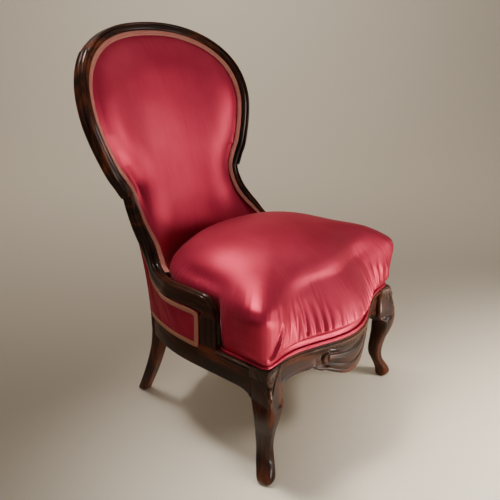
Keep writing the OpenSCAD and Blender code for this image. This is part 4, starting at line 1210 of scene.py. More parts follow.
@dataclass
class RearLegs:
    """Raked rear legs, which run up inside the back."""

    shop: Workshop
    sizes: ChairSizes

    def leg(self) -> Mesh:
        """A rear leg: a sabre under the rails and a block between them, with softened edges."""
        s = self.sizes
        mid_y = s.rear_reach - s.rear_leg_t / 2
        out_x = s.side_x(s.rear_reach)
        loft = Loft()
        sabre, block = np.linspace(0.006, s.leg_drop, 60), np.linspace(s.leg_drop, s.panel_low, 8)[1:]
        for k, z in enumerate([0.0, 0.002, *sabre, *block]):
            share = min(z / s.leg_drop, 1.0)
            y = mid_y + s.foot_rake * (1 - share) ** 1.35
            deep = mix(s.rear_foot_t, s.rear_leg_t, share) / 2
            left = mix(s.rear_foot_half_w - s.rear_foot_t / 2, out_x - s.rear_leg_t, share)
            right = mix(s.rear_foot_half_w + s.rear_foot_t / 2, out_x, share)
            half, x = (right - left) / 2, (right + left) / 2
            round_r = mix(0.0075, 0.0028, smooth((share - 0.7) / 0.3))
            ease = 0.0035 if k == 0 else 0.001 if k == 1 else 0.0
            wide, long = half - ease - round_r, deep - ease - round_r
            points = np.array([
                (x + (cx * wide + round_r * math.cos(a)), y + (cy * long + round_r * math.sin(a)), z)
                for cx, cy, start in ((1, 1, 0), (-1, 1, 90), (-1, -1, 180), (1, -1, 270))
                for a in np.radians(start + np.linspace(0, 90, 7))
            ])  # fmt: skip
            top = smooth((z - s.leg_drop) / 0.004)
            rear = points[:, 1] > y
            points[:, 1] += rear * top * (s.rear_y(points[:, 0]) - s.rear_reach) * 0.9
            loft.add(points, worn=np.full(len(points), 0.5 if z < 0.012 else 0.0))
        return loft.cap(0, -1).bm

    def make(self) -> None:
        """Makes both rear legs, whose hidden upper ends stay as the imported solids."""
        for side, hand in HANDS:
            self.shop.piece(f"rear_leg_polished_{hand}", self.leg(), UPRIGHT, "mahogany", [f"rear_leg_{hand}"], side)


@dataclass
class SeatFrame:
    """The seat's show-wood rails, with the carved serpentine front."""

    shop: Workshop
    sizes: ChairSizes
    lip: float = 0.004
    band_side: float = 0.0055
    band_middle: float = 0.0215
    scroll: tuple[float, float] = (0.0835, 0.0405)
    scroll_r: float = 0.0125
    scroll_high: float = 0.0031
    scroll_cut: float = 0.0048
    eye_r: float = 0.0035
    eye_high: float = 0.0024
    punch_middle: tuple[float, float] = (0.110, 0.043)
    punch_high: float = 0.0007
    punch_scale: float = 640
    leaf_high: float = 0.0022
    edge_round: float = 0.0022
    ridge_high: float = 0.0019
    ridge_leaf_w: float = 0.0078
    wear_seed: float = 4.2
    # how the side rail's lower edge flares down at its front end: shares of its length, and of the flare
    flare: tuple = ((0, 0.025, 0.055, 0.09, 0.13), (1, 0.52, 0.2, 0.04, 0))
    # the carved face below the band, in the panel and beside it: shares of the way down, and millimetres outward
    crown_mm: tuple = (
        (0, 0.04, 0.09, 0.125, 0.15, 0.185, 0.21, 0.235, 0.27, 0.42, 0.57, 0.62, 0.655, 0.7, 0.76, 0.86, 0.93, 1),
        (-1.6, 0.7, -0.2, -2.6, -1.2, 0.1, -0.4, -2.2, -0.2, 1.3, -0.1, -2.5, -2.0, 0.2, -0.2, -0.7, 0.5, -0.4),
    )
    ribbon_mm: tuple = (
        (0, 0.05, 0.1, 0.16, 0.45, 0.8, 0.86, 0.93, 1),
        (-0.6, 0.9, 0.8, -0.9, -2.2, -0.9, 0.5, 0.7, -0.6),
    )

    def apron(self, x: float) -> float:
        """How far the front rail reaches down at x."""
        s = self.sizes
        a, end = abs(x), s.leg_mid[0] - s.knee_half
        drop = mix(s.apron_side_depth, s.apron_depth, 1 - smooth(a / s.apron_half_w))
        flare = 0.02 * float(np.clip((a - s.apron_half_w) / (end - s.apron_half_w), 0, 1)) ** 4
        flare += 0.016 * math.exp((a - end) / 0.009)
        notch = 0.0035 * bell(a - 0.121, 0.006) - 0.003 * bell(a - 0.104, 0.012)
        return float(drop + flare - notch)

    def carving(self, x: float, d: Array, low: float) -> Trio:
        """The carving of the front rail at x.

        Args:
            x: The place along the rail.
            d: How far each point lies below the rail's top.
            low: How far the rail reaches down there.

        Returns:
            How far each point stands out, how hollow it is and how worn it is.
        """
        s = self.sizes
        a = abs(x)
        middle = float(1 - smooth((a - 0.01) / 0.15))
        band = mix(self.band_side, self.band_middle, middle)
        b = (d - self.lip) / band
        leaves = leaf_band(np.full_like(d, a + 0.3), np.clip(b, 0, 1), mix(0.0068, 0.0125, middle))
        in_band = smooth(b * 12) * smooth((1 - b) * 12)
        t = np.clip((d - self.lip - band) / (low - self.lip - band), 0, 1)
        panel = float(smooth((s.panel_half_w - a) / 0.003))
        body = mix(np.interp(t, *self.ribbon_mm), np.interp(t, *self.crown_mm), panel) * 0.001
        side, down = a - self.scroll[0], d - self.scroll[1]
        radius = np.hypot(side, down * 0.82)
        facing = smooth((side + 0.004) / 0.008)
        curl = bell(radius - self.scroll_r, 0.0022) * facing
        cut = bell(radius - self.scroll_r - 0.0042, 0.0024) * facing * smooth((down + 0.016) / 0.008)
        eye = dome(np.hypot(side - 0.004, down + 0.012) / self.eye_r)
        cell = np.array([rough(a * self.punch_scale, v * self.punch_scale, 0.0) for v in d])
        patch = bell(a - self.punch_middle[0], 0.014) * bell((d - self.punch_middle[1]) / 0.016, 1.0) * (1 - panel)
        punched = patch * np.clip(cell * 2.4, -1, 1)
        leafage = in_band * (self.leaf_high * leaves + 0.0002)
        high = (body * (1 - in_band) + leafage) * smooth((low - d + 0.002) / 0.003)
        high = high + self.scroll_high * curl - self.scroll_cut * cut * (1 - panel * 0.6) + self.eye_high * eye
        high = high + self.punch_high * punched
        below = self.lip + band
        places = [0, self.lip, below, below + 0.004, low - 0.006, low]
        base = np.interp(d, places, [0.0016, 0, 0.0005, 0.0034, 0.0022, 0.0034])
        speckle = 0.5 + 0.5 * rough(x * 38, self.wear_seed, 0)
        grooves = np.clip(-(body * 1000) / 2.6, 0, 1) * (1 - in_band)
        hollow = np.clip(in_band * (1 - leaves) * 0.95 + cut + grooves * 0.45 + 0.6 * patch * (cell < 0), 0, 1)
        worn = np.clip(in_band * leaves * 0.95 + 0.8 * curl + 0.5 * eye + 0.2 * (1 - in_band) * (body > 0.0006), 0, 1)
        return high - base, hollow, worn * (0.45 + 0.55 * speckle)

    def front_rail(self) -> Mesh:
        """The front rail with its apron: the carved face, then the plain rest of each section."""
        s = self.sizes
        end = s.leg_mid[0] - s.knee_half
        shares = np.linspace(0, 1, 104)
        loft = Loft()
        for x in np.linspace(-end, end, 391):
            low = self.apron(float(x))
            d = shares * low
            high, hollow, worn = self.carving(float(x), d, low)
            slope = (s.front_y(x + 0.0005) - s.front_y(x - 0.0005)) / 0.001
            out = unit(np.array([slope, -1.0]))
            y0 = float(s.front_y(x))
            stand = high - self.edge_round * smooth((d - low + 0.0035) / 0.0035)
            face = np.stack([x + out[0] * stand, y0 + out[1] * stand, s.rail_h - d], axis=1)
            back, foot, top = y0 + s.rail_t, s.rail_h - low, s.rail_h
            rest = ((y0 + 0.006, foot - 0.0006), (mix(y0, back, 0.6), foot), (back, foot),
                    (back, top - low * 0.5), (back, top), (mix(y0, back, 0.5), top))  # fmt: skip
            loft.add(np.concatenate([face, [(x, y, z) for y, z in rest]]), hollow=hollow, worn=worn)
        return loft.cap(0, -1).bm

    def side_rail(self) -> Mesh:
        """A side rail, with the carved ridge that runs from the post to the front corner."""
        s = self.sizes
        front = s.leg_mid[1] + s.knee_half - 0.005
        rear = s.rear_reach - s.rear_leg_t
        post_rear = s.post_t - s.arm_reach
        loft = Loft()
        ys = np.concatenate([np.linspace(front, post_rear, 130), np.linspace(post_rear + 0.0006, rear, 60)])
        for y in ys:
            x = float(s.side_x(y))
            share = (y - front) / (rear - front)
            low = s.leg_drop - s.rail_flare * float(np.interp(share, *self.flare))
            top, step = (s.rail_h, 0.0) if y <= post_rear else (s.panel_low, s.rebate)
            d = np.concatenate([np.linspace(0, 0.012, 22), np.linspace(0.0135, top - low, 26)])
            before = float(smooth((-s.arm_reach - y) / 0.006))
            ridge = leaf_band(np.full_like(d, y + 1), np.clip((d - 0.0008) / 0.0062, 0, 1), self.ridge_leaf_w)
            line = bell(d - 0.0105, 0.0012)
            soft = self.edge_round * smooth((d - (top - low) + 0.004) / 0.004) + 0.0016 * bell(d, 0.0012)
            swell = 0.0012 * np.sin(np.pi * np.clip(d / (top - low), 0, 1))
            carved = self.ridge_high * ridge + 0.0009 * line - 0.0011 * bell(d - 0.0083, 0.0009)
            face = np.stack([x + (before * carved + swell - soft), np.full_like(d, y), top - d], axis=1)
            in_x = x - s.rail_t
            rest = ((x - 0.008, low - 0.0002), (mix(x, in_x, 0.6), low), (in_x, low), (in_x, mix(low, top, 0.5)),
                    (in_x, top), (x - 0.01, top), (x - step - 0.0004, top))  # fmt: skip
            near = before * (d < 0.0075)
            hollow, worn = near * (1 - ridge) * 0.9, near * ridge * 0.9 + before * line * 0.5
            loft.add(np.concatenate([face, [(u, y, z) for u, z in rest]]), hollow=hollow, worn=worn)
        return loft.cap(0, -1).bm

    def rear_rail(self) -> Mesh:
        """The bowed rear rail between the rear legs."""
        s = self.sizes
        end = float(s.side_x(s.rear_reach)) - s.rear_leg_t
        loft = Loft()
        low, high = s.leg_drop, s.panel_low
        for x in np.linspace(-end, end, 61):
            y = float(s.rear_y(x))
            outer = [(y - 0.0015, low), (y - 0.0002, low + 0.002), (y, low + 0.006), (y, mix(low, high, 0.5)),
                     (y, high - 0.003), (y - 0.001, high), (y - s.rebate, high), (y - s.rebate, s.rail_h),
                     (y - s.rail_t, s.rail_h), (y - s.rail_t, mix(low, high, 0.5)), (y - s.rail_t, low)]  # fmt: skip
            loft.add(np.array([(x, v, z) for v, z in outer]))
        return loft.cap(0, -1).bm

    def make(self) -> None:
        """Makes the four rails."""
        self.shop.piece("front_rail_carved", self.front_rail(), ACROSS, "mahogany", ["front_rail"])
        self.shop.piece("rear_rail_bowed", self.rear_rail(), ACROSS, "mahogany", ["rear_rail"])
        for side, hand in HANDS:
            rail = self.side_rail()
            self.shop.piece(f"side_rail_ridged_{hand}", rail, LEVEL, "mahogany", [f"side_rail_{hand}"], side)


@dataclass
class Seat:
    """The sprung seat: webbing, springs, hessian, stuffing, satin cover and welt."""

    shop: Workshop
    sizes: ChairSizes
    middle: tuple[float, float] = (0.0, -0.060)
    around: int = 620
    well_h: float = 0.360
    gather: float = 0.0046
    pleat: float = 0.0062
    # the edge of the corner's pleat: heights, and how far it lies beside the middle there
    pleat_line: tuple = ((0.29, 0.321, 0.345, 0.365, 0.4), (0.25, 0.24, 0.229, 0.22, 0.214))
    rounding: float = 10.0
    shoulder: float = 0.008
    puff_reach: float = 0.064
    puff_far: float = 1.6
    puff_near: float = 1.25
    front_half_w: float = 0.262
    front_end: float = 0.225
    band_z: float = 0.296
    roll_z: float = 0.40
    map_top: float = 0.428
    pad_gap: float = 0.0006
    pucker_high: float = 0.0011
    wave_high: float = 0.0006
    tuck_high: float = 0.0007
    broad_high: float = 0.0010
    strap_steps: int = 90
    strap_sag: float = 0.0003
    # each ring of the crown: its share outward, its share of the rise and how much of an oval it is
    crown_rings: tuple = (
        (0.9, 0.3, 0.3), (0.76, 0.56, 0.7), (0.58, 0.785, 0.95), (0.36, 0.93, 1), (0.14, 0.99, 1), (0.02, 1, 1),
    )  # fmt: skip
    # each gather: its place beside the middle, its lean, its size and how far up it reaches
    gathers: tuple = (
        (0.226, 0.014, 0.7, 0.55), (0.2, 0.02, 0.8, 0.7), (0.176, 0.02, 1.1, 0.8), (0.15, 0.018, 1.25, 0.85),
        (0.128, 0.014, 0.8, 0.6), (0.107, 0.016, 1.2, 0.75), (0.088, 0.012, 0.9, 0.6), (0.064, 0.012, 0.65, 0.5),
        (0.043, 0.008, 0.5, 0.5), (0.018, 0.006, 0.35, 0.4),
    )  # fmt: skip
    # the welt's section in millimetres: outward, and up from the rail
    welt_mm: tuple = (
        (-2.2, 0.2), (-0.3, 0), (1.3, 0.5), (2.3, 1.9), (2.55, 3.6), (2.2, 5.3), (1.5, 6.4), (1.15, 6.9), (1.5, 7.3),
        (1.75, 7.9), (1.5, 8.5), (0.8, 8.9), (-0.2, 8.7), (-2.2, 8.2),
    )  # fmt: skip
    outline: Array = field(init=False)

    def __post_init__(self) -> None:
        """Works out the cover's outline in plan."""
        self.outline = resample(self.plan(), self.around)

    def plan(self) -> Array:
        """The outline's knots, round from the middle of the front."""
        s = self.sizes
        half, r, gap = s.seat_half_w, s.seat_corner_r, 0.001
        side = ((0, 0.22), (0.01, 0.42), (0.03, 0.56), (0.11, 0.69), (0.17, 0.78), (0.27, 0.87), (0.38, 0.94),
                (0.53, 1.01), (0.69, 1.07), (0.85, 1.105), (1, 1.115))  # fmt: skip
        knots = [(x, float(s.front_y(x))) for x in np.linspace(0, half - r, 13)[:-1]]
        for a in np.radians([-60, -30, 0]):
            knots.append((half - r + r * math.cos(a), r - s.corner_reach + r * math.sin(a)))
        knots += [(half, mix(r - s.corner_reach, -s.arm_reach, t)) for t in (0.4, 0.8)]
        knots += [(mix(half, s.arm_half_w, 0.5), -s.arm_reach - 5 * gap), (s.arm_half_w - gap, -s.arm_reach - gap)]
        knots += [(mix(s.arm_half_w - gap, 0, a), mix(-s.arm_reach, s.rear_reach, b)) for a, b in side]
        return np.array(knots + [(-x, y) for x, y in knots[-2:0:-1]])

    def drawn(self, inward: Number) -> Array:
        """The outline drawn in towards the seat's middle."""
        d = self.outline - self.middle
        return self.middle + d * (1 - np.asarray(inward) / np.linalg.norm(d, axis=1))[:, None]

    def puff(self) -> Array:
        """How much the front corners bulge, round the outline."""
        s = self.sizes
        off = np.hypot(np.abs(self.outline[:, 0]) - s.seat_half_w, self.outline[:, 1] + s.corner_reach)
        size = np.where(self.outline[:, 0] > 0, self.puff_far, self.puff_near)
        return size * s.corner_puff * bell(off, self.puff_reach)

    def along_front(self, fade: float) -> Array:
        """1 along the front and 0 round the sides and rear, fading over a width at the corners."""
        x, y = self.outline.T
        return smooth((self.front_half_w - np.abs(x)) / fade) * smooth((-self.front_end - y) / 0.02)

    def rings(self, inset: Number) -> list[Array]:
        """The knots of the cover's form: rings from its foot to the middle of its crown."""
        s = self.sizes
        x, y = self.outline.T
        front = self.along_front(0.10)
        puff = self.puff()
        low = s.rail_h + s.fit_gap
        side = [
            (0.0065, low, 0.0), (mix(0.0055, 0.0068, front), mix(low + 0.004, 0.289, front), 0.0),
            (mix(0.0055, 0.0085, front), mix(low + 0.008, 0.2975, front), 0.1),
            (mix(0.0042, 0.0130, front), mix(low + 0.014, 0.3035, front), 0.2),
            (mix(0.0030, 0.0040, front), mix(low + 0.022, 0.3045, front), 0.5),
            (mix(0.0015, -0.0025, front), mix(low + 0.034, 0.3115, front), 0.8),
            (mix(0.0004, 0.0010, front), mix(0.331, 0.326, front), 1.0),
            (mix(0.0, 0.0095, front), mix(0.358, 0.345, front), 1.3),
            (mix(0.0, 0.0225, front), mix(0.383, 0.366, front), 1.7),
            (mix(0.0045, 0.0380, front), mix(0.399, 0.386, front), 1.95),
            (mix(0.0190, 0.0570, front), mix(0.413, 0.405, front), 2.15),
        ]  # fmt: skip
        corner = smooth((np.abs(x) - 0.1) / 0.06) * smooth((-0.13 - y) / 0.05)
        made = []
        for k, (inward, z, share) in enumerate(side):
            flat = self.drawn(inward + inset - share * puff)
            ease = np.maximum(corner * smooth(share * 1.3), smooth((k - 6.5) / 3))
            flat = mix(flat, soften(flat, self.rounding * (0.6 + 0.1 * k)), ease[:, None])
            drop = inset if k >= len(side) - 2 else 0.0
            made.append(np.column_stack([flat, np.broadcast_to(z - drop, len(x))]))
        d = made[-1][:, :2] - self.middle
        angle = np.arctan2(*(soften(self.outline, 3 * self.rounding) - self.middle).T[::-1])
        ahead = s.corner_reach + s.bow * 0.6 + self.middle[1]
        reach = mix(s.rear_reach - self.middle[1], ahead, smooth(0.5 - 2 * np.sin(angle)))
        oval = np.column_stack([s.arm_half_w * np.cos(angle), reach * np.sin(angle)])
        for out, rise, share in self.crown_rings:
            flat = self.middle + mix(d, oval, share) * out
            z = mix(made[len(side) - 1][:, 2] + inset, s.seat_h, rise) - inset
            u, v = flat.T
            lift = self.shoulder * smooth(u / 0.1) * bell(u - 0.2, 0.12) * bell(v + 0.2, 0.12)
            made.append(np.column_stack([flat, z + lift]))
        return made

    def folds(self, grid: Array, levels: Array) -> Array:
        """How far the cover's pleats and gathers stand out, at each point of its form."""
        x, y, z = grid[..., 0], grid[..., 1], grid[..., 2]
        run = runs_along(self.outline)
        shape = np.zeros(x.shape)
        front = smooth((-0.215 - y) / 0.02) * smooth((0.256 - np.abs(x)) / 0.03)
        rise = np.clip((z - self.band_z) / (self.roll_z - self.band_z), 0, 1.4)
        for side in (-1, 1):
            for place, lean, size, reach in self.gathers:
                off = x * side - place + lean * rise
                width = 0.0026 + 0.006 * rise
                crest = bell(off - width * 1.6, width * 1.5) * 0.75 - bell(off, width)
                shape += self.gather * size * crest * front * smooth(1.3 - rise / reach) * smooth((z - 0.305) / 0.01)
            edge = np.interp(z, *self.pleat_line)
            off = edge - x * side
            over = np.where(off > 0, np.exp(-np.abs(off) / 0.02), -0.38 * np.exp(-np.abs(off) / 0.011))
            over = over * smooth((np.abs(off) + 0.0003) / 0.0012)
            hold = smooth((-0.205 - y) / 0.03) * smooth((0.379 - z) / 0.03) * smooth(rise * 14 + 0.25)
            shape += self.pleat * over * hold * (0.6 if side > 0 else 1.0)
        fine = ripple(run * 115, 3.7) + 0.6 * ripple(run * 240, 9.1)
        coarse = ripple(run * 24, 5.3)
        puckers, waves, tuck = (bell(levels - level, reach) for level, reach in ((9.3, 1.25), (8.2, 2.2), (5.5, 2.0)))
        shape += self.pucker_high * np.multiply.outer(puckers, fine) + self.wave_high * np.multiply.outer(waves, coarse)
        shape += self.tuck_high * np.multiply.outer(tuck, fine)
        broad = np.array([[rough(a * 6, b * 6, 1.7) for a, b in zip(*row)] for row in zip(x[::6], y[::6])])
        shape += self.broad_high * np.repeat(broad, 6, axis=0)[: len(x)] * smooth((levels - 9) / 3)[:, None]
        return shape

    def form(self, inset: Number, steps: int) -> tuple[Array, Array]:
        """The cover's form as a fine grid, with the level of each ring."""
        knots = self.rings(inset)
        levels = np.arange(0, len(knots) - 1 + 0.5 / steps, 1 / steps)
        return np.array([spline(knots, t) for t in levels]), levels

    def cover(self) -> None:
        """The satin cover of the seat, as one stuffed form with an open foot."""
        grid, levels = self.form(0.0, 6)
        out = unit(soften(square_to(unit(ways_along(self.outline))), 4))
        out = out * np.sign(np.sum(out * (self.outline - self.middle), axis=1))[:, None]
        down = np.maximum(0, self.map_top - grid[..., 2])[..., None]
        places = (grid[..., :2] + out * down)[..., ::-1]
        normals = grid_normals(grid)
        normals = normals * np.sign(np.sum(normals * (grid - [*self.middle, 0.3])))
        grid = grid + normals * self.folds(grid, levels)[..., None]
        loft = Loft().through(grid[::-1]).lay_cloth(places[::-1]).gather_in(0)
        thick = self.sizes.cloth_t
        cushion = self.shop.piece("seat_cushion_satin", loft.bm, SATIN, "satin", ["seat_cover"], crease=80, thick=thick)

    def stuffing(self) -> None:
        """The hair stuffing, with its well for the springs."""
        s = self.sizes
        grid, _ = self.form(s.cloth_t + self.pad_gap + self.gather * 0.8 * self.along_front(0.03), 2)
        well = self.drawn(s.side_stuffing + s.cloth_t)
        rings = [
            np.column_stack([mix(np.array(self.middle), well, share), np.full(self.around, z)])
            for z, share in ((self.well_h, 0.04), (self.well_h, 1), (s.rail_h + s.fit_gap, 1))
        ]
        loft = Loft().through([r[::4] for r in [*rings, *grid]]).gather_in(0).gather_in(-1)
        pad = self.shop.piece("seat_pad_hair", loft.bm, HAIR, "hair", ["seat_stuffing"], crease=70)

    def hessian(self) -> None:
        """The hessian over the springs."""
        s = self.sizes
        outer = self.drawn(s.side_stuffing + s.cloth_t + 0.001)
        rings = []
        for share in np.linspace(1, 0.03, 26):
            flat = mix(np.array(self.middle), outer, share)[::4]
            off = flat - self.middle
            swell = np.cos(2 * np.pi * off[:, 0] / s.spring_pitch) * np.cos(2 * np.pi * off[:, 1] / s.spring_pitch)
            z = self.well_h - s.fit_gap - 0.0004 * (1 - swell)
            rings.append(np.column_stack([flat, z]))
        loft = Loft().through(rings).lay_cloth(np.array(rings)[..., :2]).gather_in(-1)
        cloth = self.shop.piece("spring_hessian_cloth", loft.bm, HESSIAN, "jute", ["spring_hessian"], thick=s.hessian_t)

    def strap(self, i: int, cross: bool) -> Loft:
        """One strap of the webbing.

        Args:
            i: Its number, from 0 to 3.
            cross: Whether it runs from side to side, not from front to rear.

        Returns:
            Its loft.
        """
        s = self.sizes
        pitch = 2 * s.spring_pitch / 3
        off = (i - 1.5) * pitch
        rise = s.web_t / 2 + s.web_gap
        base = s.leg_drop - s.web_t / 2 - rise
        reach = s.rail_t * 0.7
        y = self.middle[1] + off
        if cross:
            last = float(s.side_x(y + s.web_w / 2)) - s.rail_t + reach
            first, centre = -last, 0.0
        else:
            edge = abs(off) + s.web_w / 2
            first = float(s.front_y(edge)) + s.rail_t + s.fit_gap
            last, centre = float(s.rear_y(edge)) - s.rail_t + reach, self.middle[1]
        stations = np.linspace(first, last, self.strap_steps)
        inner = smooth((stations - first - reach) / 0.03) * smooth((last - reach - stations) / 0.03)
        over = np.cos(np.pi * ((stations - centre) / pitch + 1.5 + (i + 1 if cross else i)))
        heights = mix(s.web_t / 2 + rise - s.fit_gap, rise * np.clip(over * 2.2, -1, 1), inner)
        b = np.linspace(-s.web_w / 2, s.web_w / 2, 7)
        cup = -self.strap_sag * (b / s.web_w * 2) ** 2
        loft = Loft(closed=False)
        for a, h in zip(stations, heights):
            spots = [(a, y + v, base + h + c) if cross else (off + v, a, base + h + c) for v, c in zip(b, cup)]
            loft.add(np.array(spots))
        return loft.lay_cloth(flat_cloth(stations, np.linspace(0, s.web_w, 7)))

    def webbing(self) -> None:
        """Eight straps, woven over and under each other and tacked under the rails."""
        whole = joined(self.strap(i, cross) for i in range(4) for cross in (False, True))
        bmesh.ops.recalc_face_normals(whole, faces=whole.faces)
        thick = self.sizes.web_t
        self.shop.piece("seat_straps_woven", whole, WEBBING, "jute", ["seat_webbing"], thick=thick)

    def springs(self) -> None:
        """Nine hourglass springs, each one wire."""
        s = self.sizes
        web_z = s.leg_drop - s.web_t / 2 - s.web_gap - s.web_t
        low = web_z + s.web_t / 2 + s.web_gap + (s.web_t + s.wire_d) / 2 + s.fit_gap
        high = self.well_h - s.hessian_t - s.wire_d / 2 - 2 * s.fit_gap
        loft = Loft()
        for t in np.linspace(0, 1, 30 * s.spring_turns + 1):
            a = 2 * np.pi * s.spring_turns * t
            r = (mix(s.spring_waist_d, s.spring_d, abs(2 * t - 1) ** 1.5) - s.wire_d) / 2
            out = np.array([math.cos(a), math.sin(a), 0])
            b = 2 * np.pi * np.arange(9) / 9
            ring = r * out + np.array([0, 0, mix(low, high, t)])
            loft.add(ring + s.wire_d / 2 * (np.cos(b)[:, None] * out + np.sin(b)[:, None] * np.array([0, 0, 1])))
        loft.cap(0, -1)
        source = [*loft.bm.verts, *loft.bm.edges, *loft.bm.faces]
        places = [(i * s.spring_pitch, j * s.spring_pitch + self.middle[1]) for i in (-1, 0, 1) for j in (-1, 0, 1)]
        for x, y in places[1:]:
            copy = bmesh.ops.duplicate(loft.bm, geom=source)["geom"]
            bmesh.ops.translate(loft.bm, vec=(x, y, 0), verts=[v for v in copy if isinstance(v, Vert)])
        own = [v for v in source if isinstance(v, Vert)]
        bmesh.ops.translate(loft.bm, vec=(*places[0], 0), verts=own)
        self.shop.piece("springs_wound", loft.bm, Steel("spring_steel"), "steel", ["seat_springs"], crease=50)

    def welt(self) -> None:
        """The covered welt round the foot of the seat, with its fine cord on top."""
        s = self.sizes
        line = np.roll(self.drawn(0.0022), -(self.around // 2), axis=0)
        flat = line[(line[:, 1] < -s.arm_reach + 0.001) & (np.abs(line[:, 0]) <= s.seat_half_w + 0.02)]
        out = square_to(unit(np.gradient(flat, axis=0)))
        out = out * np.sign(np.sum(out * (flat - self.middle)))
        section = np.array(self.welt_mm) * 0.001
        wander = ripple(np.arange(len(flat)) * 0.06, 2.2) * 0.0005
        loft = Loft()
        for k, (p, o) in enumerate(zip(flat, out)):
            crown = mix(1.0, 0.72, smooth((abs(p[0]) - 0.16) / 0.08))
            spots = [(*(p + o * (u + wander[k])), s.rail_h + s.fit_gap + v * crown) for u, v in section]
            loft.add(np.array(spots))
        run = np.arange(len(flat)) * 0.003
        loft.lay_cloth(flat_cloth(run, np.arange(len(section) + 1) * 0.0016)).cap(0, -1)
        self.shop.piece("seat_welt_satin", loft.bm, SATIN, "satin", ["seat_piping"], crease=60)

    def make(self) -> None:
        """Makes the seat's soft pieces, from the webbing up."""
        self.webbing()
        self.springs()
        self.hessian()
        self.stuffing()
        self.cover()
        self.welt()


@dataclass
class PaddedBack:
    """The upholstered back: webbing, hessian, stuffing, satin, gimp and the outside cloth."""

    shop: Workshop
    line: BackLine
    row_end: int = 34
    bend_rows: tuple[int, int] = (15, 30)
    bend_passes: int = 12
    foot_drop: float = 0.046
    gimp_deep: float = 0.0015
    cover_deep: float = 0.0043
    pad_gap: float = 0.0035
    hessian_deep: float = 0.016
    lining_inset: float = 0.003
    panel_rows: float = 14
    outside_rows: float = 14.2
    panel_end: float = 0.985
    braid_step: float = 0.00135
    braid_twist: float = 2.2
    hessian_inset: float = 0.002
    lining_half_w: float = 0.25
    uneven_high: float = 0.0018
    streak_high: float = 0.0006
    edge_high: float = 0.0006
    panel_swell: float = 0.0016
    panel_sag: float = 0.006
    outside_wave: float = 0.0014
    crown_reach: float = 0.108
    pull: float = 0.0022
    dent: float = 0.019
    middles: Array = field(init=False)

    def __post_init__(self) -> None:
        """Works out the middle of each whole row."""
        self.middles = np.array([self.middle(i) for i in range(self.row_end + 1)])
        first, stop = self.bend_rows
        for _ in range(self.bend_passes):
            inner, rows = self.middles[first:stop], self.middles
            self.middles[first:stop] = (inner * 2 + rows[first - 1 : stop - 1] + rows[first + 1 : stop + 1]) / 4

    def middle(self, i: int) -> Array:
        """The middle of a whole row, on the face's own surface."""
        s = self.line.sizes
        if i <= self.line.waist_joint:
            return self.line.on_back(0.0, float(self.line.point(i)[2]))
        low = self.row_low(i)
        y = self.line.back_y(0.0, s.waist_h) - low * s.back_hollow * 0.7
        return np.array([0, y, s.waist_h - low * (s.waist_h - s.arm_h + self.foot_drop)])

    def row_low(self, i: float) -> float:
        """How far below the waist a row lies, from 0 to 1."""
        run, waist_joint = self.line.run, self.line.waist_joint
        waist = run(waist_joint)
        return float(smooth((run(i) - waist) / (run(self.row_end) - waist))) if i > waist_joint else 0.0

    def row(self, i: float, shares: Array, inward: float, deep: float) -> Array:
        """A row of points from one side of the frame to the other."""
        s = self.line.sizes
        edge = self.line.edge(i, -inward, deep)
        lean = s.back_lean
        middle = spline(self.middles, i) + deep * np.array([0, math.cos(lean), -math.sin(lean)])
        middle = middle - inward * float(smooth((4 - i) / 4)) * np.array([0, math.sin(lean), math.cos(lean)])
        bend = shares**2
        return np.column_stack([shares * edge[0], mix(middle[1], edge[1], bend), mix(middle[2], edge[2], bend)])

    def grid(self, shares: Array, rows: Array, inward: float, deep: float, crown: float = 0.0) -> Array:
        """Rows of points over the whole back, crowned by the padding."""
        grid = np.array([self.row(float(i), shares, inward, deep) for i in rows])
        if crown:
            gap = self.edge_gap(grid)
            low = np.array([self.row_low(float(i)) for i in rows])[:, None]
            rise = 1 - (1 - np.clip((gap - 0.0126) / self.crown_reach, 0, 1)) ** 3
            grid[..., 1] -= crown * self.line.sizes.back_crown * (1 - low / 2) * rise
            along = np.maximum(bell(rows - 19, 4), 0.3 * bell(rows - 10, 6))[:, None]
            dent = along * smooth((gap - 0.008) / 0.02) * np.exp(-gap / 0.045)
            grid[..., 1] += crown * self.dent * dent * np.where(grid[..., 0] < 0, 1, 0.3)
        return grid

    def edge_gap(self, grid: Array) -> Array:
        """How far each point of a grid lies from the frame's inner edge, seen from the front."""
        stop = int(np.searchsorted(self.line.places, self.row_end))
        edge = self.line.points[: stop + 1 : 2][:, [0, 2]]
        spots = np.stack([np.abs(grid[..., 0]), grid[..., 2]], axis=-1).reshape(-1, 2)
        a, d = edge[:-1], np.diff(edge, axis=0)
        best = np.full(len(spots), 1e9)
        for start, way in zip(a, d):
            t = np.clip((spots - start) @ way / (way @ way), 0, 1)
            best = np.minimum(best, np.linalg.norm(spots - start - t[:, None] * way, axis=1))
        return best.reshape(grid.shape[:2])

    def folds(self, grid: Array, rows: Array) -> Array:
        """How far the satin's pulls and soft unevenness stand out."""
        gap = self.edge_gap(grid)
        x, z = grid[..., 0], grid[..., 2]
        shape = np.zeros(x.shape)
        side = np.sign(x)
        for way, seed in ((-1, 1.3), (1, 7.9)):
            wave = ripple(rows * 2.6, seed) * 1.2 + 0.7 * ripple(rows * 5.2, seed + 3)
            waist = bell(rows - 18.4, 2.7) if way < 0 else bell(rows - 17.2, 3.4)
            hold = smooth(gap / 0.008) * np.exp(-gap / 0.030) * (side == way)
            shape += self.pull * (waist * wave)[:, None] * hold
            edge_wave = ripple(rows * 3.4, seed + 5)
            shape += self.edge_high * edge_wave[:, None] * np.exp(-gap / 0.02) * smooth(gap / 0.006) * (side == way)
        for k, row in enumerate(shape):
            spots = zip(x[k], z[k])
            uneven = [
                self.uneven_high * rough(a * 7, b * 4.5, 0.4) + self.streak_high * rough(a * 34, b * 5, 2.4)
                for a, b in spots
            ]
            row += uneven * smooth(gap[k] / 0.02)
        return shape

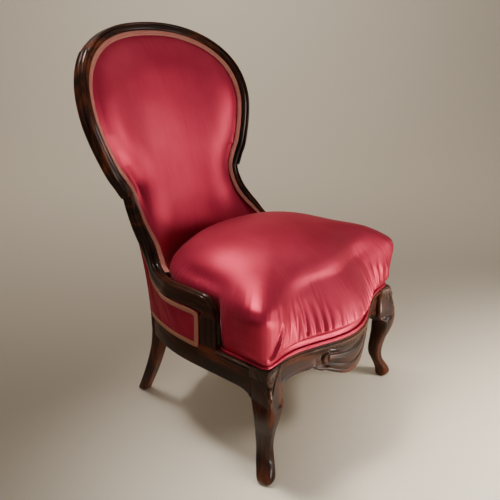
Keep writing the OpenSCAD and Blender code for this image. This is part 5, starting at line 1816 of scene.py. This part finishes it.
    def inside(self) -> None:
        """The satin on the inside of the back."""
        s = self.line.sizes
        shares = np.sin(np.linspace(-0.5, 0.5, 141) * np.pi * 0.86) / math.sin(0.43 * math.pi)
        rows = np.concatenate([np.linspace(0.35, 6, 40, endpoint=False), np.linspace(6, self.row_end, 150)])
        grid = self.grid(shares, rows, s.fit_gap, self.cover_deep, 1.0)
        grid[..., 1] -= self.folds(grid, rows)
        run = np.interp(rows, self.line.places, self.line.runs)
        places = np.stack([np.broadcast_to(run[:, None], grid.shape[:2]), grid[..., 0]], axis=-1)
        loft = Loft(closed=False).through(grid).lay_cloth(places)
        cover = self.shop.piece("back_satin_inside", loft.bm, SATIN, "satin", ["inside_back_cover"], crease=80,
                                thick=s.cloth_t, facing=(0, -1, 0))  # fmt: skip

    def lining(self) -> None:
        """The hair stuffing, the hessian behind it and the straps behind that."""
        s = self.line.sizes
        shares = np.linspace(-1, 1, 33)
        rows = np.linspace(1, self.row_end, 56)
        inset = self.lining_inset
        front = self.grid(shares, rows, inset, self.cover_deep + s.cloth_t + self.pad_gap, 0.84)
        rear = self.grid(shares, rows, inset, self.hessian_deep - 2 * s.fit_gap)
        loop = [np.concatenate([a, b[::-1]]) for a, b in zip(front, rear)]
        loft = Loft().through(loop).cap(0, -1)
        pad = self.shop.piece("back_pad_hair", loft.bm, HAIR, "hair", ["back_stuffing"], crease=60)
        grid = self.grid(shares, rows, self.hessian_inset, self.hessian_deep)
        run, across = np.interp(rows, self.line.places, self.line.runs), shares * self.lining_half_w
        loft = Loft(closed=False).through(grid).lay_cloth(flat_cloth(run, across))
        cloth = self.shop.piece("back_hessian_cloth", loft.bm, HESSIAN, "jute", ["back_hessian"], thick=s.hessian_t,
                                facing=(0, -1, 0))  # fmt: skip
        bands = [np.linspace(first, first + 2, 9) for first in (3, 7, 11, 15, 19)]
        grids = [self.grid(shares, band, inset, self.hessian_deep + s.hessian_t + s.fit_gap) for band in bands]
        spots = flat_cloth(np.linspace(0, s.web_w, 9), across)
        straps = joined(Loft(closed=False).through(grid).lay_cloth(spots) for grid in grids)
        self.shop.piece("back_straps_woven", straps, WEBBING, "jute", ["back_webbing"], thick=s.web_t,
                        facing=(0, -1, 0))  # fmt: skip

    def braid(self, rings: Callable[[float], Trio], length: float) -> Mesh:
        """A plaited braid.

        Args:
            rings: Gives the braid's middle, its way across and its way out at a run.
            length: How long it is.

        Returns:
            Its mesh.
        """
        s = self.line.sizes
        across = np.linspace(-0.5, 0.5, 13)
        swell = 0.45 + 0.55 * np.abs(np.sin(across * math.pi * 3)) ** 0.7
        swell[[0, -1]] = 0.35
        loft = Loft()
        runs = np.linspace(0, length, int(length / self.braid_step))
        for run in runs:
            middle, over, out = rings(float(run))
            plait = np.sin(2 * math.pi * (run / PLAIT + np.abs(across) * self.braid_twist))
            high = s.gimp_t * (swell + 0.16 * plait)
            edge = 1 + 0.035 * math.sin(2 * math.pi * run / PLAIT)
            top = middle + np.multiply.outer(across * s.gimp_w * edge, over) + np.multiply.outer(high, out)
            foot = middle + np.multiply.outer(np.array([0.46, 0, -0.46]) * s.gimp_w, over)
            loft.add(np.concatenate([top, foot]))
        spread = np.concatenate([across, [0.6, 0.8, 1.0, 1.1]]) * s.gimp_w
        return loft.lay_cloth(flat_cloth(runs, spread)).cap(0, -1).bm

    def inside_braid(self) -> None:
        """The gimp along the inner edge of the frame."""
        s = self.line.sizes
        end = self.line.run(self.row_end)

        def spot(run: float) -> Trio:
            """The braid's middle, way across and way out."""
            way = -1 if run < end else 1
            i = self.line.place(abs(run - end))
            _, out, across = self.line.frame(i)
            middle = self.line.edge(i, -s.gimp_w / 2 - s.fit_gap, self.gimp_deep + s.gimp_t)
            flip = np.array([way, 1, 1])
            return middle * flip, across * flip, out * flip

        mesh = self.braid(spot, 2 * end)
        self.shop.piece("inside_braid", mesh, Braid("salmon_braid"), "braid", ["inside_gimp"], crease=75)

    def panel_point(self, t: float, rise: float, out: float = 0.0) -> Array:
        """A point of a side panel: t along it from the post, and rise up from the rail."""
        s, line = self.line.sizes, self.line
        y = mix(s.post_t - s.arm_reach + 2 * s.fit_gap, s.rear_reach - s.rebate, t)
        foot = np.array([float(s.side_x(y)) - s.rebate / 2, y, s.panel_low])
        head = self.cloth_edge(mix(line.sweep_end, line.sweep_end - self.panel_rows, t))
        way = unit(np.array([1, t**3, 0]))
        sag = self.panel_sag * 4 * rise * (1 - rise) * t * t
        return mix(foot, head, rise) + out * way - np.array([0, sag, 0])

    def cloth_edge(self, i: float) -> Array:
        """Where the outside cloth meets the rear of the frame."""
        line = self.line
        if i > line.waist_joint:
            share = mix(0.5, 0.86, smooth((i - line.waist_joint) / (line.sweep_end - line.waist_joint)))
        else:
            share = mix(0.7, 0.5, smooth((i - line.waist_joint + 4) / 4))
        return line.edge(i, line.width(i) * float(share), line.depth(i) + 6 * line.sizes.fit_gap)

    def side_panel(self, side: int, hand: str) -> None:
        """A side panel and the braid round it."""
        s = self.line.sizes
        steps, rises = np.linspace(0, self.panel_end, 90), np.linspace(0, 1, 28)
        grid = np.array([[self.panel_point(t, r, s.cloth_t) for t in steps] for r in rises])
        swell = np.multiply.outer(np.sin(np.pi * rises), np.sin(np.pi * steps / self.panel_end) ** 0.5)
        wave = np.array([[rough(t * 9, r * 3, 6.1) for t in steps] for r in rises])
        grid[..., 0] += self.panel_swell * swell * (1 + wave)
        loft = Loft(closed=False).through(grid).lay_cloth(grid[..., [2, 1]])
        panel = self.shop.piece(f"side_satin_{hand}", loft.bm, SATIN, "satin", [f"side_panel_{hand}"], side,
                                crease=80, thick=s.cloth_t, facing=(1, 0, 0))  # fmt: skip
        inset = s.gimp_w / 2 + s.fit_gap
        up = np.array([0, 0, inset])
        foot = [self.panel_point(t, 0.0) + up for t in np.linspace(0.9, 0.07, 12)]
        head = [self.panel_point(t, 1.0) - up for t in np.linspace(0.07, 0.9, 12)]
        corners = [self.panel_point(0.0, 0.0) + np.array([0, inset, inset + 0.006]),
                   self.panel_point(0.0, 1.0) + np.array([0, inset, -inset - 0.012])]  # fmt: skip
        bent = [foot[-1], mix(foot[-1], corners[0], 0.5) + np.array([0, -0.001, -0.002])]
        upper = [mix(corners[1], head[0], 0.5) + np.array([0, -0.002, 0.003])]
        path = resample(np.array([*foot[:-1], *bent, *corners, *upper, *head]), 420, closed=False)
        tangent = unit(np.gradient(path, axis=0))
        length = float(np.sum(np.linalg.norm(np.diff(path, axis=0), axis=1)))
        t_of = np.clip((path[:, 1] - path[:, 1].min()) / (path[:, 1].max() - path[:, 1].min()), 0, 1)
        way = unit(np.stack([np.ones_like(t_of), t_of**3, 0 * t_of], axis=1))
        over = unit(np.cross(tangent, way))

        def spot(run: float) -> Trio:
            """The braid's middle, way across and way out."""
            k = min(int(run / length * (len(path) - 1)), len(path) - 2)
            part = run / length * (len(path) - 1) - k
            middle, across, out = (mix(v[k], v[k + 1], part) for v in (path, over, way))
            return middle + out * (s.cloth_t + s.fit_gap), across, out

        mesh = self.braid(spot, length)
        finish = Braid("tan_braid", thread=(0.560, 0.230, 0.115), faded=(0.600, 0.330, 0.180))
        self.shop.piece(f"side_braid_{hand}", mesh, finish, "braid", [f"outside_gimp_{hand}"], side, crease=75)

    def outside(self) -> None:
        """The satin stretched over the rear of the frame."""
        s, line = self.line.sizes, self.line
        rises = np.linspace(0, 1, 24)
        edges = [self.panel_point(1.0, r) for r in rises]
        edges += [self.cloth_edge(i) for i in np.linspace(line.sweep_end - self.outside_rows, 0.6, 110)]
        shares = np.linspace(-1, 1, 81)
        rows = []
        for edge in edges:
            z = edge[2]
            rear = line.back_y(0.0, max(z, s.waist_h)) + s.stile_t / math.cos(s.back_lean)
            if z <= s.waist_h:
                rear = mix(s.rear_y(0.0) - s.rebate, rear, smooth((z - s.panel_low) / (s.waist_h - s.panel_low)))
            y = mix(rear, edge[1], shares**2) + 4 * s.fit_gap + s.cloth_t
            wave = [self.outside_wave * rough(v * 2.2, z * 7, 8.8) * (1 - abs(v)) for v in shares]
            rows.append(np.column_stack([shares * edge[0], y - np.abs(wave), np.full_like(shares, z)]))
        grid = np.array(rows)
        loft = Loft(closed=False).through(grid).lay_cloth(grid[..., [2, 0]])
        cover = self.shop.piece("back_satin_outside", loft.bm, SATIN, "satin", ["outside_back_cover"], crease=80,
                                thick=s.cloth_t, facing=(0, 1, 0))  # fmt: skip

    def make(self) -> None:
        """Makes the back's soft pieces, from the inside out."""
        self.lining()
        self.inside()
        self.inside_braid()
        self.outside()
        for side, hand in HANDS:
            self.side_panel(side, hand)


@dataclass
class Joinery:
    """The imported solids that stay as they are, with their own finishes."""

    nodes: dict[str, bpy.types.Object]

    def make(self) -> None:
        """Gives each kept node its finish."""
        beech, deep = Beech("bare_beech"), Beech("bare_beech_deep", grain=Grain.DEEP)
        finishes: dict[str, Finish] = {
            "tacking_rail": beech, "webbing_batten": beech, "corner_blocks": deep, "frame_dowels": beech,
            "rail_dowels": deep, "corner_screws": Steel("screw_steel"),
        }  # fmt: skip
        for name, finish in finishes.items():
            for place in self.nodes[name].material_slots:
                place.material = finish.material()
            log.info("%s keeps its solid, in %s", name, finish.label)


@dataclass
class Studio:
    """The pale floor, the soft light and the camera."""

    sizes: ChairSizes
    lens: float = 42.84
    sensor: float = 36.0
    place: tuple[float, float, float] = (-1.07297, -0.86874, 0.97)
    pitch: float = math.radians(22.6)
    turn: float = math.radians(-50.8)
    light_colour: tuple[float, float, float] = (1.0, 0.95, 0.88)
    sky_colour: tuple[float, float, float, float] = (0.92, 0.86, 0.78, 1)
    sky_strength: float = 0.16
    sweep_away: float = 2.4
    sweep_r: float = 1.8
    floor_half_w: float = 9.0
    wall_h: float = 7.0

    def camera(self) -> None:
        """The camera, at the photograph's angle."""
        data = bpy.data.cameras.new("camera")
        data.lens, data.sensor_width = self.lens, self.sensor
        made = put("camera", data)
        made.location = (self.place[0], self.place[1] - self.sizes.set_back, self.place[2])
        made.rotation_euler = (math.pi / 2 - self.pitch, 0, self.turn)
        bpy.context.scene.camera = made

    def light(
        self,
        name: str,
        place: Sequence[float],
        size: tuple[float, float],
        power: float,
        aim: Sequence[float] = (0, 0, 0.45),
        spread: float = 180,
    ) -> None:
        """Adds a soft light.

        Args:
            name: What it is called.
            place: Where it stands.
            size: How wide and tall it is.
            power: Its power in watts.
            aim: The point that it faces, the chair's middle unless told otherwise.
            spread: How far it spreads, in degrees.
        """
        data = bpy.data.lights.new(name, "AREA")
        data.shape, data.energy, data.color = "RECTANGLE", power, self.light_colour
        data.size, data.size_y = size
        data.spread = math.radians(spread)
        made = put(name, data)
        made.location = place
        made.rotation_euler = (Vector(aim) - Vector(place)).to_track_quat("-Z", "Y").to_euler()

    def floor(self) -> None:
        """The floor, which runs up behind the chair in one soft curve."""
        away, level, wide = self.sweep_away, self.sweep_r, self.floor_half_w
        turns = np.radians(np.linspace(0, 90, 25))
        curve = zip(away + level * np.sin(turns), level - level * np.cos(turns))
        profile = [(-wide, 0.0), *curve, (away + level, self.wall_h)]
        ahead = np.array([-math.sin(self.turn), math.cos(self.turn), 0])
        aside = np.array([ahead[1], -ahead[0], 0])
        loft = Loft(closed=False)
        for run, z in profile:
            loft.add(np.array([ahead * run + aside * v + np.array([0, 0, z]) for v in (-wide, 0.0, wide)]))
        bmesh.ops.recalc_face_normals(loft.bm, faces=loft.bm.faces)
        for face in loft.bm.faces:
            face.smooth = True
        data = bpy.data.meshes.new("floor")
        loft.bm.to_mesh(data)
        loft.bm.free()
        data.materials.append(PaleFloor("pale_floor").material())
        made = put("floor", data)

    def make(self) -> None:
        """Makes the studio."""
        self.floor()
        self.light("key_light", (1.95, -2.1, 0.95), (2.0, 0.8), 2.45, (0, 0.13, 0.76), 32)
        self.light("fill_light", (-2.6, -0.6, 1.6), (2.2, 2.2), 8)
        self.light("high_light", (1.3, -0.45, 2.2), (1.0, 1.0), 1.8)
        self.light("top_light", (-0.3, 0.5, 2.2), (0.7, 0.7), 2.1, (-0.25, -0.22, 0.42), 22)
        self.light("low_light", (0.25, -1.35, 0.1), (0.9, 0.25), 2.2, (0, -0.33, 0.34), 50)
        self.light("floor_light", (0.6, -1.6, 1.5), (0.7, 0.7), 19, (0.35, -1.2, 0), 60)
        self.light("backdrop_light", (0.9, 1.3, 3.4), (2, 2), 95, (4.0, 3.2, 1.2))
        world = bpy.data.worlds.new("pale_room")
        world.use_nodes = True
        sky = world.node_tree.nodes["Background"].inputs
        sky["Color"].default_value, sky["Strength"].default_value = self.sky_colour, self.sky_strength
        bpy.context.scene.world = world


def main() -> None:
    """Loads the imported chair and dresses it."""
    logging.basicConfig(level=logging.INFO, format="%(name)s %(message)s")
    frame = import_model()
    sizes = ChairSizes()
    shop = Workshop(sizes)
    line = BackLine(sizes)
    studio = Studio(sizes)
    studio.camera()
    studio.make()
    for part in (
        BackFrame(shop, line),
        FrontLegs(shop, sizes),
        RearLegs(shop, sizes),
        SeatFrame(shop, sizes),
        Seat(shop, sizes),
        PaddedBack(shop, line),
        Joinery(frame["nodes"]),
    ):
        part.make()


if __name__ == "__main__":
    main()
